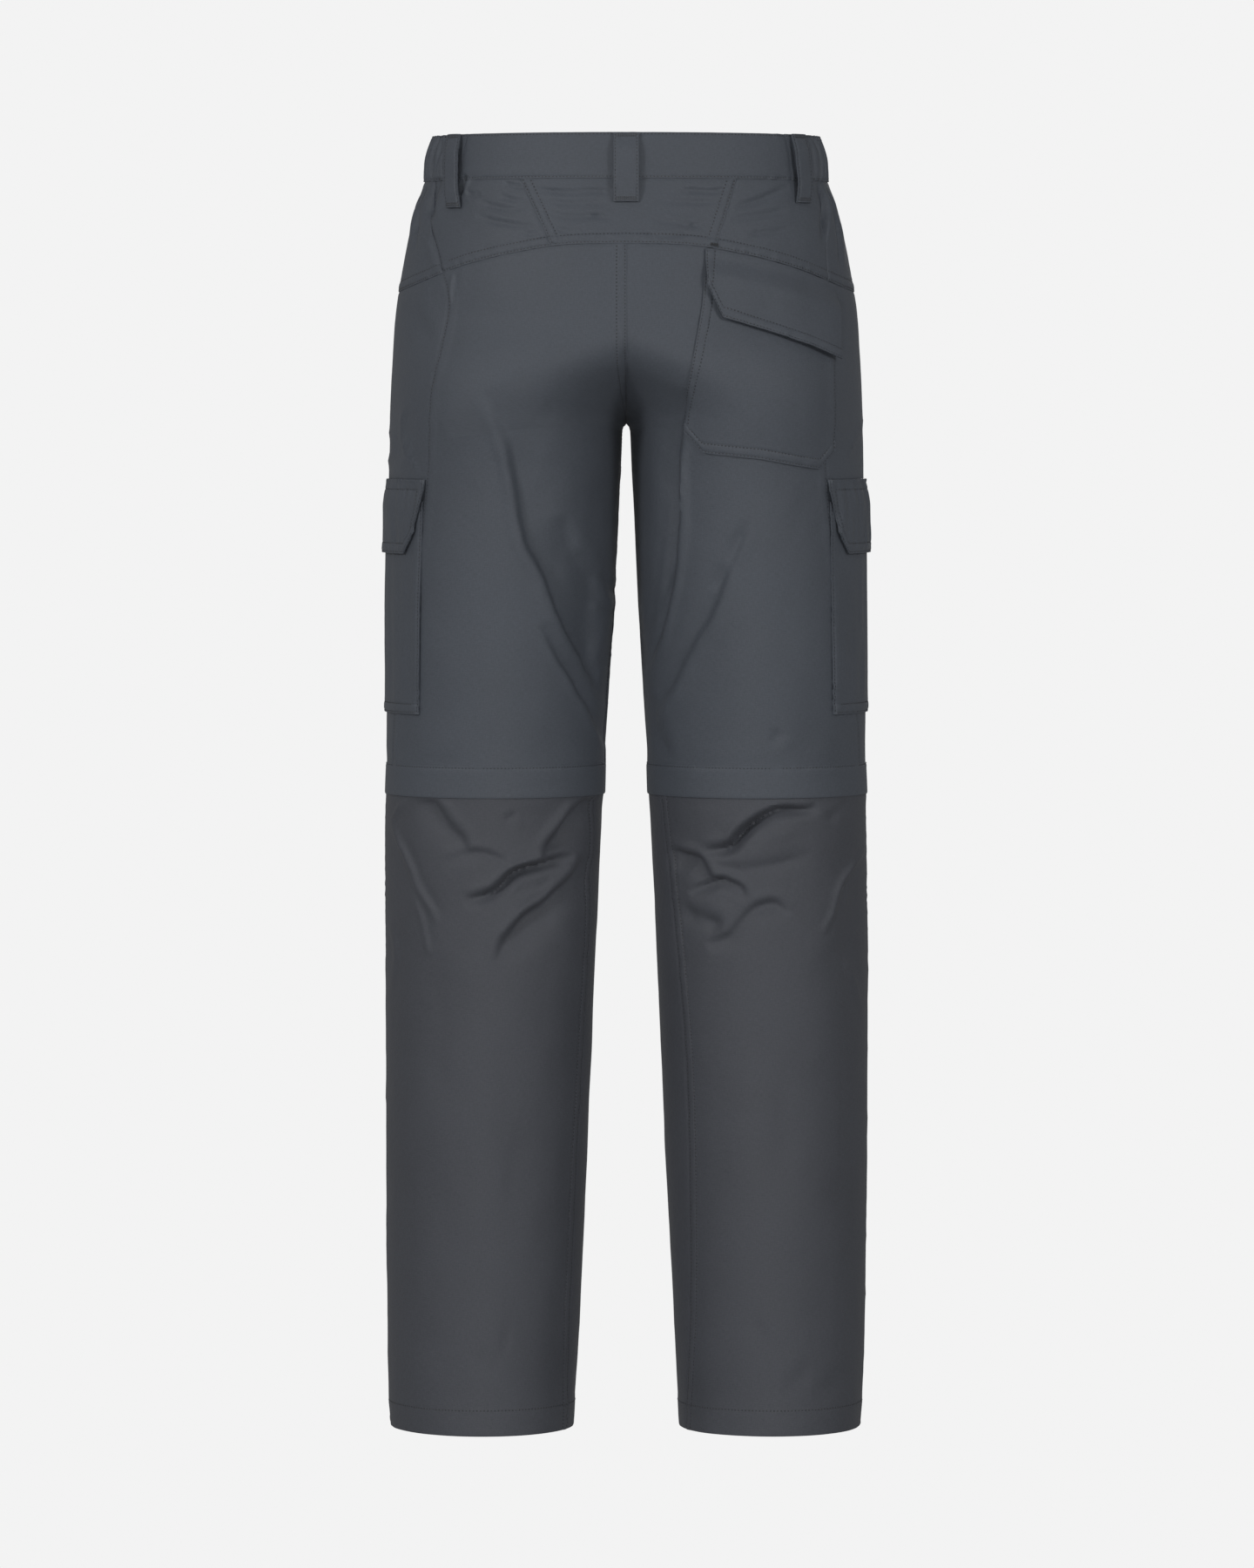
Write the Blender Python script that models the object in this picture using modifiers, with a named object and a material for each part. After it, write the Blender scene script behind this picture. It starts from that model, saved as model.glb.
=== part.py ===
"""Convertible zip-off trousers in grey nylon, filled out as if worn.

The seat faces -Y and the fly faces +Y. +X is the wearer's right and +Z is up.
The origin is the middle of the waist opening, halfway up the waistband.
"""
import math

import bmesh
import bpy
from mathutils import Vector

MM = 0.001
LEFT = -1
RIGHT = 1
SIDE_NAMES = {LEFT: "left", RIGHT: "right"}

# Driving heights, in millimetres from the middle of the waistband
BAND_TOP = 18.3
BAND_BOTTOM = -18.2
CROTCH = -213.8
FORK_HEIGHT = 90.0
ZIP_LINE = -498.5
COVER_TOP = -487.0
COVER_BOTTOM = -512.5
HEM = -1028.0

# Cloth thicknesses and clearances, in millimetres
CLOTH = 1.5
POCKET_CLOTH = 1.3
TAPE = 1.2
SEAM_GAP = 0.3
PANEL_SEAM = 0.4
ZIP_TAPE_LIFT = -2.6
COVER_LIFT_TOP = 0.4
COVER_LIFT_BOTTOM = 1.0

# Outline seen from behind: height, half width to the outer edge of the leg
OUTER_EDGE = (
    (20, 156.0),
    (0, 161.5),
    (-18, 163.2),
    (-40, 170.0),
    (-68, 177.0),
    (-96, 182.2),
    (-124, 186.3),
    (-152, 188.5),
    (-209, 191.0),
    (-290, 192.2),
    (-392, 193.2),
    (-505, 194.4),
    (-560, 195.0),
    (-650, 195.4),
    (-800, 195.4),
    (-930, 194.1),
    (-1000, 192.8),
    (-1028, 190.8),
)

# Inner edge of the leg below the crotch: height, half of the gap between the legs
INNER_EDGE = (
    (-213.8, 0.0),
    (-215.2, 1.5),
    (-218, 2.6),
    (-225, 3.3),
    (-251, 4.4),
    (-308, 7.4),
    (-420, 13.8),
    (-505, 17.9),
    (-650, 25.2),
    (-818, 32.4),
    (-932, 37.8),
    (-1000, 41.2),
    (-1028, 43.0),
)

# Depth of the body: height, reach of the back, reach of the front
DEPTHS = (
    (20, 112, 108),
    (-18, 115, 110),
    (-70, 124, 113),
    (-110, 130, 114),
    (-160, 132, 112),
    (-214, 122, 108),
    (-257, 113, 105),
    (-320, 106, 101),
    (-410, 97, 93),
    (-505, 86, 84),
    (-600, 81, 79),
    (-760, 78, 75),
    (-900, 75, 73),
    (-1028, 74, 72),
)

# Lower seam of the yoke: distance from the centre back, height
YOKE_SEAM = (
    (0, -70.0),
    (52, -71.5),
    (93, -78.0),
    (123, -85.0),
    (145, -92.0),
    (160, -98.0),
    (184, -107.0),
)

# Lower seam of the hip piece in front of the side: angle, height
HIP_SEAM = (
    (0, -107.0),
    (16, -92.0),
    (32, -66.0),
    (48, -26.0),
)

# Side seam above the leg zip: height, distance from the centre on the left, on the right
OUTSEAM = (
    (20, 152.0, 154.0),
    (-18, 155.0, 157.0),
    (-47, 158.0, 160.0),
    (-81, 150.0, 161.0),
    (-115, 142.0, 163.0),
    (-153, 148.0, 164.5),
    (-188, 156.0, 163.0),
    (-257, 160.0, 161.0),
    (-330, 168.0, 168.0),
    (-445, 186.0, 186.0),
    (-515, 189.0, 189.0),
)

# Inner seam below the leg zip: height, degrees from the outer side on the left, on the right
INSEAM = (
    (-480, 162, 155),
    (-560, 160, 149),
    (-650, 158, 143),
    (-760, 156, 140),
    (-930, 154, 146),
    (-1028, 158, 157),
)

# Largest folds: side, facing, start, middle and end as distance from centre and height, width, depth
FOLDS = (
    (LEFT, "back", (127, -594), (88, -577), (43, -562), 7.0, 4.2),
    (LEFT, "back", (66, -559), (52, -545), (39, -527), 7.0, 3.0),
    (LEFT, "back", (102, -638), (78, -612), (50, -590), 9.0, 2.6),
    (RIGHT, "back", (65, -558), (98, -537), (150, -519), 7.0, 4.6),
    (RIGHT, "back", (53, -590), (72, -581), (91, -586), 7.0, 3.2),
    (RIGHT, "back", (71, -629), (100, -603), (128, -606), 9.0, 2.4),
    (LEFT, "back", (135, -189), (77, -317), (20, -440), 14.0, -2.4),
    (RIGHT, "back", (46, -200), (36, -290), (17, -400), 13.0, 3.2),
    (LEFT, "front", (120, -548), (86, -562), (50, -560), 9.0, 3.4),
    (LEFT, "front", (140, -596), (104, -607), (62, -598), 10.0, 2.8),
    (RIGHT, "front", (132, -543), (92, -560), (56, -553), 9.0, 3.0),
    (RIGHT, "front", (120, -606), (88, -612), (58, -594), 10.0, 3.0),
    (LEFT, "front", (60, -205), (86, -238), (128, -262), 12.0, 2.6),
    (RIGHT, "front", (56, -208), (84, -244), (120, -272), 12.0, 2.4),
)
FOLD_FADE_START = -516.0
FOLD_FADE_END = -528.0

# Gathers of the elastic sides of the waistband, in degrees and millimetres
ELASTIC_BACK = 36.0
ELASTIC_FRONT = 27.0
GATHERS = 15
GATHER_DEPTH = 1.3
HIP_GATHERS = 7
HIP_GATHER_DEPTH = 1.6
HIP_GATHER_REACH = 62.0

# Rows of the panels, as heights
UPPER_ROWS = (ZIP_LINE, -450, -400, -350, -300, -262, -236, -223, -217, CROTCH, -208, -199, -186,
              -166, -144, -126)
LOWER_ROWS = (ZIP_LINE - SEAM_GAP, -510, -522, -533, -544, -555, -566, -577, -588, -600, -616, -640,
              -690, -760, -850, -940, -1006, HEM)
BENT_ROWS = (0.7, 0.35)
EVEN_BELOW = -208.0

# Columns and rows of the pieces
BACK_COLUMNS = 14
SIDE_COLUMNS = 4
HIP_STEPS = 4
HIP_CORNER_STEP_DEG = 2.5
FRONT_COLUMNS = 7
LOWER_BACK_COLUMNS = 16
LOWER_FRONT_COLUMNS = 14
BAND_BACK_COLUMNS = 24
BAND_FRONT_COLUMNS = 9
STEPS_PER_GATHER = 4
YOKE_ROWS = 5
YOKE_SIDE_COLUMNS = 6
YOKE_CENTRE_COLUMNS = 8
BACK_POCKET_ROWS = 8
BACK_POCKET_COLUMNS = (0.26, 0.39, 0.62)
BACK_FLAP_ROWS = 5
BACK_FLAP_COLUMNS = (0.26, 0.40, 0.68)
CARGO_ROWS = 7
CARGO_COLUMNS = 11
CARGO_FLAP_ROWS = 4
CARGO_FLAP_COLUMNS = 10
FLY_ROWS = 10
FLY_COLUMNS = 4

# Belt loops: name, facing, distance from the centre at the top and the bottom, height of the bottom,
# lift of their ends
BELT_LOOPS = (
    ("belt_loop_centre_back", "back", 0.0, 0.0, -37.0, 0.4),
    ("belt_loop_back_left", "back", -137.0, -136.0, -41.0, 1.1),
    ("belt_loop_back_right", "back", 136.0, 141.0, -37.0, 1.1),
    ("belt_loop_front_left", "front", -92.0, -92.0, -37.0, 0.4),
    ("belt_loop_front_right", "front", 92.0, 92.0, -37.0, 0.4),
)
LOOP_WIDTH = 20.0
LOOP_TOP = 17.8
LOOP_ROOM = 6.2
LOOP_ROWS = 8

# Slanted seams between the yoke pieces: distance from the centre at the waistband and at the yoke seam
SLANT = {LEFT: (84.0, 60.0), RIGHT: (88.0, 72.0)}

# Back pocket on the right: distances from the centre and heights
BACK_POCKET_LEFT = ((-95, 62), (-119, 60), (-164, 52.5), (-197, 46.5), (-216, 46.5), (-236, 50))
BACK_POCKET_BOTTOM = ((46, -216), (60, -236), (107, -241), (140, -247), (154, -249), (166, -234))
BACK_POCKET_RIGHT = 166.0
BACK_POCKET_TOP_DROP = 24.0
BACK_FLAP_BOTTOM = ((62, -103), (75, -130), (121, -145), (147, -154), (167, -163))
BACK_FLAP_TOP_DROP = 1.5
BACK_FLAP_LEFT = 62.5
BACK_FLAP_RIGHT = 166.5
BACK_POCKET_LIFT = 1.0
BACK_POCKET_BELLY = 2.2
FLAP_SEWN = 5.0
FLAP_LIFT = 1.3
FLAP_STAND = 5.6
FLAP_SIDE_RISE = 1.5

# Cargo pockets: heights, and angles round the leg
CARGO_TOP = -275.0
CARGO_BOTTOM = -446.0
CARGO_BACK = -47.0
CARGO_FRONT = 50.0
CARGO_FLAP_TOP = -257.5
CARGO_FLAP_CORNER = -299.0
CARGO_FLAP_BOTTOM = -317.0
CARGO_FLAP_CUT = 8.0
CARGO_LIFT = 0.9
CARGO_BELLY = 0.9
CARGO_FLAP_LIFT = 0.9
CARGO_FLAP_STAND = 3.6
CARGO_FLAP_OVERHANG = 0.02
CARGO_FLAP_TAPER = 0.11

# Fly and button
FLY_LEFT = -20.0
FLY_RIGHT = 18.0
FLY_TOP = -19.2
FLY_END = -168.0
FLY_END_RISE = 34.0
FLY_LIFT = 0.6
BUTTON_RADIUS = 8.5
BUTTON_THICKNESS = 3.2
BUTTON_RIM = 0.6
BUTTON_SIDES = 24
BUTTON_PLACE = 2.0

CLOTH_COLOUR = (0.068, 0.076, 0.087, 1.0)
TRIM_COLOUR = (0.030, 0.033, 0.038, 1.0)
CLOTH_ROUGHNESS = 0.62
TRIM_ROUGHNESS = 0.4
SHARP_EDGE_DEG = 50.0


def clear_scene():
    """Remove every object, so that the model starts from nothing."""
    for item in list(bpy.data.objects):
        bpy.data.objects.remove(item, do_unlink=True)


def make_material(name, colour, roughness):
    """One Principled BSDF material for one sub-part."""
    material = bpy.data.materials.new(name)
    material.use_nodes = True
    shader = material.node_tree.nodes["Principled BSDF"]
    shader.inputs["Base Color"].default_value = colour
    shader.inputs["Roughness"].default_value = roughness
    shader.inputs["Metallic"].default_value = 0.0
    material.diffuse_color = colour
    return material


def smooth(value):
    """Ease from 0 to 1."""
    value = min(max(value, 0.0), 1.0)
    return value * value * (3.0 - 2.0 * value)


def read_line(table, key, column=1):
    """Straight-line reading of a table whose first column rises or falls."""
    rows = sorted(table)
    if key <= rows[0][0]:
        return rows[0][column]
    for low, high in zip(rows, rows[1:]):
        if key <= high[0]:
            share = (key - low[0]) / (high[0] - low[0])
            return low[column] + (high[column] - low[column]) * share
    return rows[-1][column]


def read_curve(table, key, column=1):
    """Smooth reading of a table, with a cubic curve between its rows."""
    rows = sorted(table)
    key = min(max(key, rows[0][0]), rows[-1][0])
    count = len(rows)
    spot = 0
    while spot < count - 2 and key > rows[spot + 1][0]:
        spot += 1

    def slope(row):
        low = rows[max(row - 1, 0)]
        high = rows[min(row + 1, count - 1)]
        return (high[column] - low[column]) / (high[0] - low[0])

    low = rows[spot]
    high = rows[spot + 1]
    run = high[0] - low[0]
    t = (key - low[0]) / run
    return ((2 * t ** 3 - 3 * t ** 2 + 1) * low[column]
            + (t ** 3 - 2 * t ** 2 + t) * run * slope(spot)
            + (3 * t ** 2 - 2 * t ** 3) * high[column]
            + (t ** 3 - t ** 2) * run * slope(spot + 1))


def section(z):
    """Centre, half width and depths of one half of the garment at a height."""
    outer = read_curve(OUTER_EDGE, z)
    back = read_curve(DEPTHS, z, 1)
    front = read_curve(DEPTHS, z, 2)
    if z >= CROTCH:
        fork = 1.0 - smooth((z - CROTCH) / FORK_HEIGHT)
        half_width = outer / (1.0 + fork)
        return fork * half_width, half_width, back, front
    inner = read_curve(INNER_EDGE, z)
    return (outer + inner) / 2, (outer - inner) / 2, back, front


def base_point(side, angle, z):
    """Point of the smooth form. Angle 0 is the outer side and -90 degrees the back."""
    centre, half_width, back, front = section(z)
    depth = front if math.sin(angle) > 0 else back
    x = centre + half_width * math.cos(angle)
    return Vector((side * x, depth * math.sin(angle), z))


def normal_at(side, angle, z):
    """Outward direction of the smooth form."""
    step = 0.012
    rise = 0.8
    along = base_point(side, angle + step, z) - base_point(side, angle - step, z)
    up = base_point(side, angle, z + rise) - base_point(side, angle, z - rise)
    return (along.cross(up) * side).normalized()


def fold_depth(side, angle, z):
    """How far the folds push the cloth in, in millimetres."""
    fade = 1.0
    if z < ZIP_LINE:
        fade = smooth((FOLD_FADE_START - z) / (FOLD_FADE_START - FOLD_FADE_END))
    facing = "front" if math.sin(angle) > 0 else "back"
    point = base_point(side, angle, z)
    spot = Vector((abs(point.x), z))
    depth = 0.0
    for fold_side, fold_facing, start, middle, end, width, deep in FOLDS:
        if fold_side != side or fold_facing != facing:
            continue
        line = [Vector(start), Vector(middle), Vector(end)]
        nearest = None
        for part, (low, high) in enumerate(zip(line, line[1:])):
            run = high - low
            share = min(max((spot - low).dot(run) / run.length_squared, 0.0), 1.0)
            distance = (spot - low - run * share).length
            if nearest is None or distance < nearest[0]:
                nearest = (distance, (part + share) / 2)
        distance, along = nearest
        depth += deep * math.exp(-(distance / width) ** 2) * math.sin(math.pi * along) ** 0.6
    return depth * fade


def gather_wave(angle, count, depth):
    """Even waves between the ends of the elastic, fading at both ends."""
    start = -math.radians(ELASTIC_BACK)
    reach = math.radians(ELASTIC_BACK + ELASTIC_FRONT)
    share = (angle - start) / reach
    if share <= 0.0 or share >= 1.0:
        return 0.0
    fade = smooth((share - 0.04) * 8) * smooth((1 - share) * 8)
    return depth * fade * math.cos(2 * math.pi * count * share)


def cloth_point(side, angle, z, lift=0.0):
    """Point of the cloth, folds included, moved out by lift, in metres."""
    push = lift - fold_depth(side, angle, z)
    return (base_point(side, angle, z) + normal_at(side, angle, z) * push) * MM


def angle_at(z, distance, facing="back"):
    """Angle whose point lies at a distance from the centre plane."""
    centre, half_width, _, _ = section(z)
    angle = math.acos(min(max((distance - centre) / half_width, -1.0), 1.0))
    return angle if facing == "front" else -angle


def centre_angle(z):
    """Angle of the centre seam above the crotch and of the inner seam of the thigh."""
    if z > CROTCH:
        return -angle_at(z, SEAM_GAP / 2)
    _, _, back, _ = section(z)
    return math.pi - SEAM_GAP / 2 / back


def outseam_angle(side, z):
    """Angle of the side seam above the leg zip."""
    return angle_at(z, read_curve(OUTSEAM, z, 1 if side == LEFT else 2))


def inseam_angle(side, z):
    """Angle of the inner seam below the leg zip, counted backwards from the outer side."""
    return -math.radians(read_curve(INSEAM, z, 1 if side == LEFT else 2))


def arc_gap(z):
    """Half a seam gap as an angle."""
    _, half_width, _, _ = section(z)
    return SEAM_GAP / 2 / half_width


def yoke_seam(side, angle, z):
    """Height of the seam under the yoke and the hip piece."""
    if angle <= 0:
        return read_curve(YOKE_SEAM, abs(base_point(side, angle, z).x))
    return read_line(HIP_SEAM, math.degrees(angle))


def spread(count):
    """Even steps from 0 to 1."""
    return [step / count for step in range(count + 1)]


def between(low, high, share):
    """Value between two others."""
    return low + (high - low) * share


def border_of(grid, closed):
    """Edge loops of a grid of corners: one for a patch, two for a ring."""
    if closed:
        return [grid[0], grid[-1]]
    right = [row[-1] for row in grid[1:-1]]
    left = [row[0] for row in grid[1:-1]]
    return [grid[0] + right + grid[-1][::-1] + left[::-1]]


def add_wall(name, outer_rows, inner_rows, collection, closed=False, colour=CLOTH_COLOUR):
    """Closed wall lofted through two grids of points, the outside and the inside of the cloth."""
    mesh_maker = bmesh.new()
    grids = [[[mesh_maker.verts.new(point) for point in row] for row in rows]
             for rows in (outer_rows, inner_rows)]
    for grid in grids:
        for upper, lower in zip(grid, grid[1:]):
            pairs = list(zip(upper, lower))
            if closed:
                pairs.append(pairs[0])
            for (a, b), (c, d) in zip(pairs, pairs[1:]):
                mesh_maker.faces.new((a, b, d, c))
    for outside, inside in zip(border_of(grids[0], closed), border_of(grids[1], closed)):
        pairs = list(zip(outside, inside))
        pairs.append(pairs[0])
        for (a, b), (c, d) in zip(pairs, pairs[1:]):
            mesh_maker.faces.new((a, b, d, c))
    bmesh.ops.recalc_face_normals(mesh_maker, faces=mesh_maker.faces)
    mesh = bpy.data.meshes.new(name)
    mesh_maker.to_mesh(mesh)
    mesh_maker.free()
    mesh.shade_smooth()
    mesh.set_sharp_from_angle(angle=math.radians(SHARP_EDGE_DEG))
    item = bpy.data.objects.new(name, mesh)
    item.data.materials.append(make_material(name, colour, CLOTH_ROUGHNESS))
    collection.objects.link(item)
    return item


def add_piece(name, rows, thickness, collection, closed=False):
    """Cloth piece through rows of (side, angle, height, lift), as thick as its cloth."""
    outer = [[cloth_point(side, angle, z, lift) for side, angle, z, lift in row] for row in rows]
    inner = [[cloth_point(side, angle, z, lift - thickness) for side, angle, z, lift in row]
             for row in rows]
    return add_wall(name, outer, inner, collection, closed)


def add_half_piece(name, side, rows, thickness, collection, closed=False):
    """Cloth piece on one half, through rows of (angle, height, lift)."""
    spots = [[(side, angle, z, lift) for angle, z, lift in row] for row in rows]
    return add_piece(name, spots, thickness, collection, closed)


def torso_spot(x, z, facing="back", lift=0.0):
    """Spot above the crotch by its distance from the centre plane, negative on the left."""
    side = RIGHT if x > 0 else LEFT
    return side, angle_at(z, abs(x), facing), z, lift


def upper_rows(side, shares, angle_range, top_gap):
    """Rows of an upper panel, level up to the hip and then bent to the seam above."""
    rows = []
    for z in UPPER_ROWS:
        low, high = angle_range(z)
        rows.append([(between(low, high, share), z, 0.0) for share in shares])
    bent = []
    for share in shares:
        z = UPPER_ROWS[-1]
        for _ in range(6):
            low, high = angle_range(z)
            angle = between(low, high, share)
            z = yoke_seam(side, angle, z)
            if math.degrees(angle) > HIP_SEAM[-1][0]:
                z = BAND_BOTTOM - SEAM_GAP + top_gap
        bent.append((angle, z - top_gap, 0.0))
    middles = []
    for climb in BENT_ROWS:
        middle = []
        for share, (_, top, _) in zip(shares, bent):
            z = between(UPPER_ROWS[-1], top, climb)
            low, high = angle_range(z)
            middle.append((between(low, high, share), z, 0.0))
        middles.append(middle)
    return [bent] + middles + rows[::-1]


def front_stations(side, z):
    """Columns of a front panel: even round the leg, and set by the hip seam's corners above."""
    start = outseam_angle(side, z) + arc_gap(z)
    end = centre_angle(z)
    corners = [math.radians(angle) for angle, _ in HIP_SEAM]
    stations = [between(start, 0.0, share) for share in spread(SIDE_COLUMNS)[:-1]] + corners
    stations.append(corners[-1] + math.radians(HIP_CORNER_STEP_DEG))
    last = stations[-1]
    stations += [between(last, end, share) for share in spread(FRONT_COLUMNS)[1:]]
    even = [between(start, end, share) for share in spread(len(stations) - 1)]
    shift = smooth((z - EVEN_BELOW) / (UPPER_ROWS[-1] - EVEN_BELOW))
    return [between(low, high, shift) for low, high in zip(even, stations)]


def add_upper_legs(collection):
    """Back and front panels from the yoke to the leg zip."""
    for side in (LEFT, RIGHT):
        def back_range(z, side=side):
            return -centre_angle(z), outseam_angle(side, z) - arc_gap(z)

        rows = upper_rows(side, spread(BACK_COLUMNS), back_range, PANEL_SEAM / 2)
        add_half_piece("back_panel_" + SIDE_NAMES[side], side, rows, CLOTH, collection)

    for side in (LEFT, RIGHT):
        def front_angles(z, side=side):
            return front_stations(side, z)

        rows = [[(angle, z, 0.0) for angle in front_angles(z)] for z in UPPER_ROWS]
        bent = []
        for column in range(len(rows[0])):
            z = UPPER_ROWS[-1]
            for _ in range(6):
                angle = front_angles(z)[column]
                z = yoke_seam(side, angle, z)
                if math.degrees(angle) > HIP_SEAM[-1][0] + 0.5:
                    z = BAND_BOTTOM
            bent.append((angle, z - PANEL_SEAM / 2, 0.0))
        middle_rows = []
        for climb in BENT_ROWS:
            row = []
            for column, (_, top, _) in enumerate(bent):
                z = between(UPPER_ROWS[-1], top, climb)
                row.append((front_angles(z)[column], z, 0.0))
            middle_rows.append(row)
        rows = [bent] + middle_rows + rows[::-1]
        add_half_piece("front_panel_" + SIDE_NAMES[side], side, rows, CLOTH, collection)


def add_yokes(collection):
    """Three yoke pieces across the back and a hip piece at each side."""
    top = BAND_BOTTOM - SEAM_GAP
    row_shares = spread(YOKE_ROWS)

    def slant(side, z):
        at_band, at_seam = SLANT[side]
        share = (z - BAND_BOTTOM) / (YOKE_SEAM[0][1] - BAND_BOTTOM)
        return between(at_band, at_seam, share)

    def yoke_rows(left_edge, right_edge, columns):
        rows = []
        for down in row_shares:
            row = []
            for across in spread(columns):
                z = between(top, YOKE_SEAM[0][1], down)
                for _ in range(5):
                    x = between(left_edge(z), right_edge(z), across)
                    z = between(top, read_curve(YOKE_SEAM, abs(x)) + PANEL_SEAM / 2, down)
                row.append(torso_spot(x, z))
            rows.append(row)
        return rows

    half_gap = SEAM_GAP / 2
    edges = {
        "yoke_left": (lambda z: -read_curve(OUTSEAM, z, 1) + half_gap / 2,
                      lambda z: -slant(LEFT, z) - half_gap, YOKE_SIDE_COLUMNS),
        "yoke_centre": (lambda z: -slant(LEFT, z) + half_gap,
                        lambda z: slant(RIGHT, z) - half_gap, YOKE_CENTRE_COLUMNS),
        "yoke_right": (lambda z: slant(RIGHT, z) + half_gap,
                       lambda z: read_curve(OUTSEAM, z, 2) - half_gap / 2, YOKE_SIDE_COLUMNS),
    }
    for name, (left_edge, right_edge, columns) in edges.items():
        add_piece(name, yoke_rows(left_edge, right_edge, columns), CLOTH, collection)

    corners = [math.radians(angle) for angle, _ in HIP_SEAM]
    for side in (LEFT, RIGHT):
        rows = []
        for down in row_shares:
            row = []
            back_columns = 2 * SIDE_COLUMNS
            for column in range(back_columns + HIP_STEPS * (len(corners) - 1) + 1):
                z = top
                for _ in range(5):
                    start = outseam_angle(side, z) + arc_gap(z)
                    if column < back_columns:
                        angle = between(start, 0.0, column / back_columns)
                    else:
                        step = (column - back_columns) / HIP_STEPS
                        corner = min(int(step), len(corners) - 2)
                        angle = between(corners[corner], corners[corner + 1], step - corner)
                    z = between(top, yoke_seam(side, angle, z) + PANEL_SEAM / 2, down)
                fade = smooth((z - top + HIP_GATHER_REACH) / HIP_GATHER_REACH) * smooth((1 - down) * 3)
                wave = gather_wave(angle, HIP_GATHERS, HIP_GATHER_DEPTH) * fade * smooth(down * 4)
                row.append((angle, z, wave))
            rows.append(row)
        add_half_piece("hip_piece_" + SIDE_NAMES[side], side, rows, CLOTH, collection)


def add_waistband(collection):
    """Plain back and fronts, with a gathered elastic stretch at each side."""
    levels = [BAND_TOP, 0.0, BAND_BOTTOM]
    back_end = math.radians(ELASTIC_BACK)
    front_start = math.radians(ELASTIC_FRONT)

    def torso_row(angles, z):
        """Angles are counted from the right side round the back to the left side."""
        row = []
        for angle in angles:
            side = RIGHT if angle > -math.pi / 2 else LEFT
            row.append((side, angle if side == RIGHT else -math.pi - angle, z, 0.0))
        return row

    gap = arc_gap(0.0)
    shares = spread(BAND_BACK_COLUMNS)
    angles = [between(-math.pi + back_end + gap, -back_end - gap, share) for share in shares]
    add_piece("waistband_back", [torso_row(angles, z) for z in levels], CLOTH, collection)

    steps = GATHERS * STEPS_PER_GATHER
    for side in (LEFT, RIGHT):
        rows = []
        for z in levels:
            row = []
            for share in spread(steps):
                angle = between(-back_end + gap, front_start - gap, share)
                row.append((angle, z, gather_wave(angle, GATHERS, GATHER_DEPTH)))
            rows.append(row)
        add_half_piece("waistband_elastic_" + SIDE_NAMES[side], side, rows, CLOTH, collection)

    # The left front runs past the centre, where the button holds it over the fly
    lap = FLY_RIGHT / read_curve(OUTER_EDGE, 0.0)
    overlap = {LEFT: math.pi / 2 + lap, RIGHT: math.pi / 2 - lap}
    for side in (LEFT, RIGHT):
        rows = []
        for z in levels:
            row = []
            for share in spread(BAND_FRONT_COLUMNS):
                angle = between(front_start + gap, overlap[side] - gap, share)
                row.append((angle, z, 0.0))
            rows.append(row)
        add_half_piece("waistband_front_" + SIDE_NAMES[side], side, rows, CLOTH, collection)


def add_belt_loops(collection):
    """Upright straps that stand off the waistband in their middle."""
    for name, facing, top_x, bottom_x, bottom, seat in BELT_LOOPS:
        outer = []
        inner = []
        for down in spread(LOOP_ROWS):
            z = between(LOOP_TOP, bottom, down)
            middle = between(top_x, bottom_x, down)
            side = LEFT if middle < 0 else RIGHT
            bow = smooth(down * 6) * smooth((1 - down) * 6)
            lift = between(seat, LOOP_ROOM, bow) + CLOTH
            angle = angle_at(z, abs(middle), facing)
            tangent = (base_point(side, angle + 0.01, z) - base_point(side, angle - 0.01, z)).normalized()
            out = normal_at(side, angle, z)
            centre = base_point(side, angle, z) + out * lift
            strip = [centre + tangent * side * across * LOOP_WIDTH for across in (-0.5, 0.0, 0.5)]
            outer.append([point * MM for point in strip])
            inner.append([(point - out * CLOTH) * MM for point in strip])
        add_wall(name, outer, inner, collection)


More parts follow.
